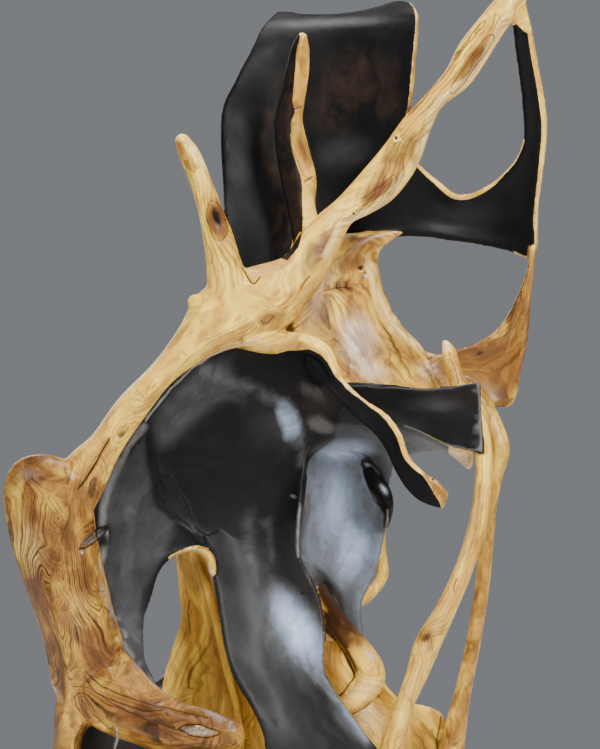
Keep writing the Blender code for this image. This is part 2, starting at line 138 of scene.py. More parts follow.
# Walls: both long edges as (across, down, back), and how far the middle lies behind them and
# below them. Rims are the steps of bare wood along the first and the second edge, ends are the
# rows of bare wood at the start and at the end, and the painted sheen level is how much light
# blue-grey highlight is painted into the lacquer's colour. What a wall doesn't state is as in
# usualWall.
usualWall = {"dip": 0, "thick": 0.013, "lacquer": True, "rims": (0, 0), "ends": (0, 0), "paintedSheenBase": 0.0}
walls = {
    "palm": {
        "first": [(277, 8, 96), (262, 24, 78), (252, 45, 66), (235, 78, 57), (221, 114, 51),
            (223, 185, 38), (228, 250, 6), (246, 320, -20), (264, 385, 4)],
        "second": [(402, -2, 86), (414, 2, 68), (419, 16, 54), (416, 55, 46), (411, 104, 40),
            (400, 150, 38), (374, 240, 50), (368, 330, 50), (356, 385, 30)],
        "hollow": [4, 7, 11, 15, 16, 14, 12, 8, 4], "dip": [9, 6, 3, 0, 0, 0, 0, 0, 0], "thick": 0.015,
        "rims": (0, 1.0),
    },
    "band": {
        "first": [(404, 142, 36), (420, 164, 38), (438, 180, 42), (455, 193, 46), (473, 193, 48),
            (493, 183, 46), (507, 170, 43), (518, 157, 40), (524, 140, 34), (525, 118, 27), (522, 85, 19),
            (517, 52, 11), (512, 18, 4), (508, -1, 2)],
        "second": [(338, 240, 46), (392, 236, 48), (425, 235, 50), (450, 238, 52), (478, 242, 52),
            (508, 249, 49), (536, 256, 42), (538, 215, 40), (542, 180, 36), (547, 132, 27),
            (544, 100, 19), (537, 62, 11), (531, 30, 5), (524, -5, 3)],
        "hollow": [2, 5, 8, 8, 8, 7, 4, 3, 3, 3, 3, 3, 2, 1], "ends": (0, 9),
        "rims": (
            [2, 2, 2, 2, 1.6, 1, 0.7, 0.5, 0.5, 0, 0, 0, 2, 2],
            [0, 0, 0, 0, 0, 0, 2, 3, 3, 3, 3, 3, 3, 3],
        ),
    },
    "cheek": {
        "first": [(318, 236, 36), (300, 262, 20), (292, 300, 4), (292, 332, -10), (302, 358, -20),
            (320, 380, -20), (340, 398, -14)],
        "second": [(403, 231, 48), (379, 251, 46), (381, 282, 44), (396, 320, 42), (422, 348, 42),
            (432, 374, 38), (442, 398, 32)],
        "hollow": [0, -5, -8, -8, -6, -4, -2], "lacquer": False,
    },
    "wing": {
        "first": [(394, 314, 42), (408, 337, 43), (424, 350, 44), (440, 354, 46), (462, 347, 50),
            (482, 341, 53), (500, 328, 54), (511, 312, 53), (518, 297, 50), (524, 282, 46),
            (529, 266, 42), (530, 246, 40)],
        "second": [(428, 384, 34), (436, 398, 36), (448, 406, 40), (462, 410, 44), (480, 411, 48),
            (498, 408, 52), (514, 404, 54), (521, 374, 54), (527, 346, 52), (531, 305, 48),
            (535, 272, 43), (537, 244, 40)],
        "hollow": [2, 3, 4, 4, 4, 4, 4, 3, 2, 1, 0, 0], "lacquer": False,
    },
    "bowl": {
        "first": [(88, 600, -32), (86, 545, -34), (94, 490, -36), (116, 446, -42), (150, 400, -44),
            (198, 352, -42), (250, 332, -36), (300, 336, -38), (330, 360, -44), (348, 404, -38)],
        "second": [(145, 611, 10), (161, 568, 12), (182, 553, 20), (207, 552, 28), (234, 578, 33),
            (262, 594, 34), (288, 578, 32), (301, 512, 24), (305, 466, 28), (328, 440, 34)],
        "hollow": [3, 8, 22, 34, 38, 36, 32, 26, 18, 6], "paintedSheenBase": 0.02,
        "rims": (0, [0, 0, 1, 2, 0, 0, 0, 0, 0, 0]),
    },
    "leftPanel": {
        "first": [(88, 590, -32), (90, 614, -32), (100, 642, -32), (118, 670, -34), (138, 700, -40)],
        "second": [(150, 590, 10), (143, 618, 10), (142, 642, 6), (145, 664, -2), (158, 688, -14)],
        # painted sheen: the left panel's lacquer is painted grey with a light sheen
        "hollow": [5, 4, 2, 2, 1], "paintedSheenBase": 0.23,
    },
    "tongue": {
        "first": [(203, 538, 32), (211, 566, 22), (219, 610, 10), (224, 642, 2), (233, 672, -5),
            (252, 706, -13), (263, 730, -17), (268, 755, -19), (276, 792, -16), (284, 835, -10)],
        "second": [(301, 512, 27), (299, 552, 20), (318, 594, 10), (324, 626, 2), (323, 668, -8),
            (344, 704, -18), (364, 732, -24), (381, 754, -28), (393, 790, -26), (400, 835, -18)],
        "hollow": [18, 16, 15, 15, 13, 12, 11, 10, 8, 6], "paintedSheenBase": 0.08,
    },
    "innerFace": {
        "first": [(320, 434, 36), (308, 456, 38), (303, 482, 36), (300, 508, 34), (297, 542, 34),
            (303, 574, 34), (313, 606, 34), (322, 642, 30)],
        "second": [(380, 430, 36), (392, 462, 40), (388, 486, 42), (389, 514, 44), (383, 542, 44),
            (375, 572, 42), (361, 606, 38), (364, 642, 32)],
        # painted sheen: the inner face gets much light blue-grey highlight painted into its lacquer
        "hollow": [6, 14, 17, 18, 16, 13, 9, 6], "paintedSheenBase": 0.56,
    },
    "horn": {
        "first": [(320, 384, -24), (352, 384, -22), (391, 386, -26), (421, 390, -30), (450, 387, -34),
            (479, 383, -38)],
        "second": [(340, 422, 6), (368, 425, 8), (397, 423, -4), (420, 429, -14), (446, 444, -22),
            (482, 452, -28)],
        "hollow": [2, 4, 8, 8, 8, 8], "paintedSheenBase": 0.02,
    },
    "hornUnderside": {
        "first": [(334, 412, 2), (356, 420, 8), (378, 422, 4), (400, 423, -4), (421, 430, -12),
            (446, 443, -18), (472, 449, -20)],
        "second": [(318, 446, 40), (348, 450, 47), (382, 456, 44), (409, 454, 39), (428, 450, 36),
            (450, 451, 32), (471, 469, 26)],
        # painted sheen: a light blue-grey highlight is painted into the horn's underside
        "hollow": [4, 4, 3, 3, 4, 4, 2], "ends": (0, 7), "paintedSheenBase": 0.35,
    },
    "strand": {
        "first": [(308, 340, -42), (324, 352, -46), (340, 378, -51), (362, 400, -55), (384, 414, -59),
            (398, 432, -62), (407, 456, -64), (422, 471, -66), (437, 480, -66), (447, 492, -66)],
        "second": [(304, 366, -34), (316, 378, -38), (330, 390, -43), (350, 410, -49), (373, 431, -54),
            (386, 450, -58), (396, 471, -62), (407, 489, -65), (421, 501, -66), (441, 507, -66)],
        "hollow": [1, 2, 3, 4, 4, 4, 3, 2, 0, 0], "rims": (1.8, 0),
    },
    "column": {
        "first": [(180, 470, 30), (176, 512, 48), (175, 552, 62), (178, 592, 66), (180, 622, 64),
            (168, 662, 58), (158, 702, 54), (154, 752, 50), (150, 838, 44)],
        "second": [(274, 470, 38), (272, 512, 52), (268, 552, 64), (276, 592, 68), (286, 622, 68),
            (296, 660, 64), (304, 702, 58), (310, 752, 52), (314, 838, 46)],
        "hollow": [2, 5, 6, 6, 6, 8, 8, 8, 6], "lacquer": False,
    },
    "lowerPanel": {
        "first": [(316, 616, 42), (319, 660, 40), (324, 696, 36), (328, 724, 32), (332, 765, 28),
            (336, 835, 24)],
        "second": [(357, 622, 42), (376, 672, 42), (404, 705, 42), (443, 716, 38), (450, 765, 32),
            (452, 835, 26)],
        "hollow": [6, 8, 8, 8, 8, 8], "lacquer": False,
    },
    "skirt": {
        "first": [(64, 662, -26), (70, 688, 6), (88, 705, 34), (120, 704, 50), (162, 680, 57)],
        "second": [(64, 838, -20), (72, 838, 8), (92, 838, 34), (122, 838, 46), (158, 838, 46)],
        "hollow": [-2, 2, 4, 4, 2], "paintedSheenBase": 0.1,
    },
}

# How brown and burled the wood of each form is, from pale honey at 0 to dark root wood at 1
woodTones = {
    "body": 0.95, "neck": 0.32, "leftTine": 0.34, "spur": 0.25, "middleTine": 0.48, "arm": 0.95,
    "frontPole": 0.3, "rearPole": 0.62, "elbow": 0.08, "hoodRidge": 0.4, "eyeKnot": 0.9,
    "backing": 0.2, "spine": 0.7, "leftRoot": 0.7, "rightRoot": 0.7, "columnRim": 0.1, "archRoll": 0.4,
    "palm": 0.55, "band": 0.3, "cheek": 0.65, "wing": 0.9, "bowl": 0.6, "leftPanel": 0.6,
    "tongue": 0.6, "innerFace": 0.6, "horn": 0.5, "hornUnderside": 0.5, "strand": 0.2,
    "column": 0.45, "lowerPanel": 0.2, "skirt": 0.6, "foot": 0.75,
}

# Flat cuts that the knife left along a limb: (degrees from its right side round towards its
# front, how far out the cut lies), for a limb that is looked at along its way
knifeCuts = {
    "body": [(95, 0.86), (20, 0.9), (150, 0.88)],
    "neck": [(92, 0.80), (38, 0.84), (150, 0.92)],
    "leftTine": [(75, 0.78), (20, 0.84), (130, 0.80), (165, 0.84)],
    "spur": [(100, 0.8), (40, 0.85)],
    "middleTine": [(62, 0.76), (128, 0.74), (10, 0.96), (175, 0.86)],
    "arm": [(80, 0.84), (135, 0.86), (30, 0.88)],
    "frontPole": [(70, 0.80), (125, 0.82), (20, 0.86), (175, 0.88)],
    "rearPole": [(80, 0.82), (30, 0.86), (140, 0.84)],
    "elbow": [(85, 0.80), (35, 0.84), (140, 0.86)],
    "hoodRidge": [(60, 0.82), (120, 0.86)],
    "backing": [(80, 0.84), (140, 0.86)],
    "spine": [(-90, 0.86), (-45, 0.88), (-140, 0.88)],
    "leftRoot": [(-80, 0.84), (-140, 0.86), (170, 0.88)],
    "rightRoot": [(-100, 0.84), (-40, 0.86), (20, 0.88)],
}
lacqueredLimbs = ["eyeKnot"]

form = {
    "sides": 40,  # points round a limb
    "limbCuts": 8,  # sections between two stations
    "square": 2.4,  # power of the rounded section, 2 being an ellipse
    "capRings": 5,
    "capOpen": 0.4,
    "wallCuts": 8,  # rows between two stations of a wall
    "wallAcross": 26,  # points across a wall
    "rimShare": 0.3,  # of the wall's width, the widest a rim can be
    "bareRim": 0.4,  # steps of rim from which an edge is bare wood
    "lip": 0.6, "lipColumns": 3,  # thickness at a wall's long edges, and how soon it is whole
    "joined": 0.06,  # metres within which the grain runs on from one form to the next
}
shut = 1e-6  # metres between points that are one
least = {"length": 1e-12, "area": 1e-20, "way": 1e-9, "span": 1e-8}  # keep a division from zero


def smoothRun(rows, cuts):
    # a Catmull-Rom run that passes through every row
    rows = np.array(rows, float).reshape(len(rows), -1)
    ends = np.vstack([2 * rows[0] - rows[1], rows, 2 * rows[-1] - rows[-2]])
    share = np.linspace(0, 1, cuts, endpoint=False)[:, None]
    run = []
    for i in range(len(rows) - 1):
        before, start, end, after = ends[i:i + 4]
        run.append(
            start
            + 0.5 * share * (end - before)
            + share**2 * (before - 2.5 * start + 2 * end - 0.5 * after)
            + share**3 * (1.5 * (start - end) + 0.5 * (after - before))
        )
    run.append(rows[-1:])
    return np.vstack(run)


def unit(vectors):
    return vectors / np.maximum(np.linalg.norm(vectors, axis=-1, keepdims=True), least["length"])


def lengthAlong(points):
    return np.concatenate([[0], np.cumsum(np.linalg.norm(np.diff(points, axis=0), axis=1))])


def eased(share):
    return share * share * (3 - 2 * share)


def tableOf(items, key, wide=1, kind=np.float32):
    # one value of every item of a mesh, such as its place, as a table
    table = np.empty(len(items) * wide, kind)
    items.foreach_get(key, table)
    return table.reshape(-1, wide) if wide > 1 else table


def keepVector(mesh, name, table):
    store = mesh.attributes.new(name, "FLOAT_VECTOR", "POINT")
    store.data.foreach_set("vector", table.reshape(-1).astype(np.float32))


def withModifier(piece, kind, **settings):
    # adds a modifier to the active piece and applies it
    bpy.ops.object.modifier_add(type=kind)
    modifier = piece.modifiers[-1]
    for name, value in settings.items():
        setattr(modifier, name, value)
    bpy.ops.object.modifier_apply(modifier=modifier.name)


# Marks on the source forms' faces: the first slot is lacquered, the second bare wood
lacquerMark = bpy.data.materials.new("lacquerMark")
woodMark = bpy.data.materials.new("woodMark")
centreLines = []  # (points, lengths along) of the forms made so far, for matching the grain


def grainStart(spot):
    # the length along the nearest form made so far, so that the grain runs on across a joint
    best = (form["joined"], 0.0)
    for line, along in centreLines:
        gaps = np.linalg.norm(line - spot, axis=1)
        i = int(np.argmin(gaps))
        if gaps[i] < best[0]:
            best = (gaps[i], along[i])
    return best[1]


def gridObject(name, points, grain, painted, paintedSheenBase):
    # a grid primitive whose points are moved onto the form
    rows, columns = points.shape[:2]
    bpy.ops.object.select_all(action="DESELECT")
    bpy.ops.mesh.primitive_grid_add(x_subdivisions=columns - 1, y_subdivisions=rows - 1, size=2)
    patch = bpy.context.object
    patch.name = name
    mesh = patch.data
    mesh.vertices.foreach_set("co", points.reshape(-1).astype(np.float32))
    keepVector(mesh, "grain", grain)
    # the finish holds the wood tone and the level of painted sheen on the lacquer
    keepVector(mesh, "finish", np.tile([woodTones[name], paintedSheenBase, 0.0], rows * columns))
    mesh.materials.append(lacquerMark)
    mesh.materials.append(woodMark)
    mesh.polygons.foreach_set("material_index", np.where(painted, 0, 1).reshape(-1).astype(np.int32))
    mesh.update()
    return patch


def closedObject(name, points, grain):
    # a grid that is closed into a solid, all lacquered or all bare
    painted = np.zeros((points.shape[0] - 1, points.shape[1] - 1), bool)
    solid = gridObject(name, points, grain, painted, 0.0)
    bpy.ops.object.mode_set(mode="EDIT")
    bpy.ops.mesh.select_all(action="SELECT")
    bpy.ops.mesh.remove_doubles(threshold=shut)
    bpy.ops.mesh.fill_holes(sides=0)
    bpy.ops.mesh.normals_make_consistent(inside=False)
    bpy.ops.object.mode_set(mode="OBJECT")
    slot = 0 if name in lacqueredLimbs else 1
    solid.data.polygons.foreach_set("material_index", np.full(len(solid.data.polygons), slot, np.int32))
    return solid


def limbObject(name):
    run = smoothRun(limbs[name], form["limbCuts"])
    centres = place(run[:, 0], run[:, 1], run[:, 2])
    sizes = run[:, 3:] * step
    startWay = unit(centres[0] - centres[1])
    endWay = unit(centres[-1] - centres[-2])
    spots, spans = list(centres), list(sizes)
    for i in range(1, form["capRings"] + 1):
        turn = 0.5 * math.pi * i / (form["capRings"] + form["capOpen"])
        for end, way in ((0, startWay), (-1, endWay)):
            reach = 0.5 * sizes[end].min() * math.sin(turn)
            at = 0 if end == 0 else len(spots)
            spots.insert(at, centres[end] + way * reach)
            spans.insert(at, sizes[end] * math.cos(turn))
    spots, spans = np.array(spots), np.array(spans)
    along = unit(np.gradient(spots, axis=0))
    sideways = unit(np.cross([0.0, 1.0, 0.0], along))
    deep = np.cross(along, sideways)
    turns = np.linspace(0, 2 * math.pi, form["sides"] + 1)
    power = 2 / form["square"]
    side = np.sign(np.cos(turns)) * np.abs(np.cos(turns)) ** power / 2
    depth = np.sign(np.sin(turns)) * np.abs(np.sin(turns)) ** power / 2
    for turn, keep in knifeCuts.get(name, []):
        way = (math.cos(math.radians(turn)) / 2, -math.sin(math.radians(turn)) / 2)
        over = np.maximum(4 * (side * way[0] + depth * way[1]) - keep, 0)
        side, depth = side - over * way[0], depth - over * way[1]
    a = spans[:, :1] * side
    b = spans[:, 1:] * depth
    points = spots[:, None] + a[..., None] * sideways[:, None] + b[..., None] * deep[:, None]
    length = lengthAlong(spots) + grainStart(spots[0])
    centreLines.append((spots, length))
    return closedObject(name, points, np.stack([a, b, np.broadcast_to(length[:, None], a.shape)], axis=-1))


def wallObject(name):
    wall = {**usualWall, **walls[name]}

    def smoothed(values):
        values = values if isinstance(values, list) else [values] * len(wall["first"])
        return smoothRun(values, form["wallCuts"])[:, 0]

    first = smoothRun(wall["first"], form["wallCuts"])
    second = smoothRun(wall["second"], form["wallCuts"])
    hollow, dip = smoothed(wall["hollow"]), smoothed(wall["dip"])
    rims = [smoothed(rim) for rim in wall["rims"]]
    wide = np.linalg.norm((second - first)[:, :2], axis=1)
    inset = [np.minimum(np.maximum(rim, 1) / wide, form["rimShare"]) for rim in rims]
    middle = np.linspace(0, 1, form["wallAcross"])
    share = inset[0][:, None] + (1 - inset[0] - inset[1])[:, None] * middle
    share = np.hstack([np.zeros((len(first), 1)), share, np.ones((len(first), 1))])
    spots = first[:, None] + share[..., None] * (second - first)[:, None]
    spots[..., 1] += dip[:, None] * 4 * share * (1 - share)
    spots[..., 2] += hollow[:, None] * 4 * share * (1 - share)
    points = place(spots[..., 0], spots[..., 1], spots[..., 2])
    centre = points[:, form["wallAcross"] // 2]
    length = lengthAlong(centre) + grainStart(centre[0])
    centreLines.append((centre, length))
    breadth = (share - 0.5) * (wide * step)[:, None]
    grain = np.stack(
        [breadth, np.zeros_like(breadth), np.broadcast_to(length[:, None], breadth.shape)], axis=-1
    )
    painted = np.full((points.shape[0] - 1, points.shape[1] - 1), wall["lacquer"])
    painted[:, 0] &= rims[0][1:] < form["bareRim"]
    painted[:, -1] &= rims[1][1:] < form["bareRim"]
    painted[:wall["ends"][0]] = False
    painted[len(painted) - wall["ends"][1]:] = False
    facing = np.cross(np.diff(points, axis=1)[:-1], np.diff(points, axis=0)[:, :-1])
    if facing[..., 1].sum() > 0:
        points, grain, painted = points[:, ::-1], grain[:, ::-1], painted[:, ::-1]
    sheet = gridObject(name, points, grain, painted, wall["paintedSheenBase"])
    inner = sheet.vertex_groups.new(name="inner")
    rows, columns = points.shape[:2]
    edgeward = np.minimum(np.arange(columns), np.arange(columns)[::-1]) / form["lipColumns"]
    for i, share in enumerate(np.clip(edgeward, 0, 1)):
        inner.add(list(range(i, rows * columns, columns)), float(share), "REPLACE")
    withModifier(
        sheet, "SOLIDIFY", thickness=wall["thick"], offset=0, material_offset=1,
        vertex_group=inner.name, thickness_vertex_group=form["lip"],
    )
    return sheet


# The low root foot, a lobed stump
foot = {
    "across": 262, "back": 2, "wide": 0.66, "deep": 0.44, "rise": 0.115, "sides": 128,
    "narrow": (7, 0.8, 0.014), "broad": (3, 2.1, 0.0084),  # lobes, turn and swell
    "levels": [
        (-0.1, 1.0), (0.1, 1.0), (0.3, 0.96), (0.5, 0.87), (0.7, 0.75), (0.88, 0.58), (1.0, 0.34),
    ],
    "levelCuts": 4,
    "grainDown": 0.2,  # metres, which keeps its grain apart from that of the roots
}


def footObject():
    middle = place(foot["across"], layout["groundDown"], foot["back"])
    turns = np.linspace(0, 2 * math.pi, foot["sides"] + 1)
    lobed = (foot["narrow"], foot["broad"])
    swell = sum(size * np.cos(lobes * turns + turn) for lobes, turn, size in lobed)
    rings = []
    grain = []
    for rise, spread in smoothRun(foot["levels"], foot["levelCuts"]):
        x = (foot["wide"] / 2 + swell) * spread * np.cos(turns)
        y = (foot["deep"] / 2 + swell) * spread * np.sin(turns)
        z = np.full_like(x, rise * foot["rise"])
        rings.append(middle + np.stack([x, y, z], axis=1))
        grain.append(np.stack([x, y, z - foot["grainDown"]], axis=1))
    return closedObject("foot", np.array(rings), np.array(grain))


forms = [limbObject(name) for name in limbs]
forms += [wallObject(name) for name in walls]
forms.append(footObject())
bpy.ops.object.select_all(action="DESELECT")
for piece in forms:
    piece.select_set(True)
bpy.context.view_layer.objects.active = forms[0]
bpy.ops.object.join()
source = bpy.context.object
source.name = "sourceForms"
print("source forms joined,", len(source.data.polygons), "faces")

# One skin round all the forms
skin = {
    "voxel": 0.003, "quickVoxel": 1.6,
    "ease": 0.5, "easeRounds": 2,
    "triangles": 188000,
    "fineCuts": 2,  # across a face where a mark is fine
    "edgeKept": 1.8,  # millimetres each side of the lacquer's edge that keep their faces
    "plainBelow": 0.12,  # metres, under which no edge or mark needs finer faces
}
bpy.ops.object.duplicate()
carving = bpy.context.object
carving.name = "elkCarving"
voxel = skin["voxel"] * 1
withModifier(carving, "REMESH", mode="VOXEL", voxel_size=voxel)
withModifier(carving, "SMOOTH", factor=skin["ease"], iterations=skin["easeRounds"])
bpy.ops.object.mode_set(mode="EDIT")
bpy.ops.mesh.select_all(action="SELECT")
bpy.ops.mesh.bisect(plane_co=(0, 0, 0), plane_no=(0, 0, 1), clear_inner=True, use_fill=True)
bpy.ops.object.mode_set(mode="OBJECT")
print("skin made,", len(carving.data.polygons), "faces")


def pointsOf(mesh):
    return tableOf(mesh.vertices, "co", 3).astype(float)


def normalsOf(mesh):
    return tableOf(mesh.vertex_normals, "vector", 3).astype(float)


# What the source forms say of each place: where it is lacquered, its grain and its finish
sourceMesh = source.data
sourceMesh.calc_loop_triangles()
sourcePoints = pointsOf(sourceMesh)
triangles = tableOf(sourceMesh.loop_triangles, "vertices", 3, np.int32)
polygonOf = tableOf(sourceMesh.loop_triangles, "polygon_index", kind=np.int32)
isWood = tableOf(sourceMesh.polygons, "material_index", kind=np.int32)[polygonOf] == 1
sourceTable = np.hstack(
    [tableOf(sourceMesh.attributes[name].data, "vector", 3) for name in ("grain", "finish")]
).astype(float)
pointList = [tuple(p) for p in sourcePoints]
woodFaces = triangles[isWood]
lacquerFaces = triangles[~isWood]
woodTree = BVHTree.FromPolygons(pointList, woodFaces.tolist())
lacquerTree = BVHTree.FromPolygons(pointList, lacquerFaces.tolist())


def nearest(tree, points):
    # the nearest face's number, the place on it and the distance
    found = [tree.find_nearest(point) for point in points.tolist()]
    faces = np.array([hit[2] for hit in found])
    spots = np.array([tuple(hit[0]) for hit in found])
    gaps = np.array([hit[3] for hit in found])
    return faces, spots, gaps


def valuesAt(spots, corners):
    # the source's grain and finish, weighted between the three corners of a face
    a, b, c = (sourcePoints[corners[:, k]] for k in range(3))
    whole = np.cross(b - a, c - a)
    area = np.maximum((whole**2).sum(1), least["area"])
    weightB = (np.cross(spots - a, c - a) * whole).sum(1) / area
    weightC = (np.cross(b - a, spots - a) * whole).sum(1) / area
    weights = np.clip(np.stack([1 - weightB - weightC, weightB, weightC], axis=1), 0, 1)
    return sum(weights[:, k, None] * sourceTable[corners[:, k]] for k in range(3))


# Marks of the knife, the weather and the wood, and painted light and shade: highlights and sheen
# painted where the light catches, and shade painted on shaded sides, hollows and creases. They are
# placed where the camera sees them, in steps across and down the picture. A line has its width
# first and then its points, an area the width of its soft edge and then its corners, a spot its
# middle, its two reaches and its lean in degrees, and a flow its count of lines, their strength and
# the two guides between which they run. Sink and rough are in millimetres, rings in growth rings,
# lacquer and bare change the finish inside an area, a round mark keeps its strength where the
# surface turns away, and the rest are strengths; the sheen paints a highlight, blue-grey on the
# lacquer, and below zero takes it away.
def lineMark(wide, *line, **effects):
    return {"line": list(line), "wide": wide, **effects}


def areaMark(soft, *corners, **effects):
    return {"area": list(corners), "soft": soft, **effects}


def spotMark(spot, size, lean, **effects):
    return {"spot": spot, "size": size, "lean": lean, **effects}


def flowMark(count, lines, first, last):
    return {"from": first, "to": last, "count": count, "lines": lines}


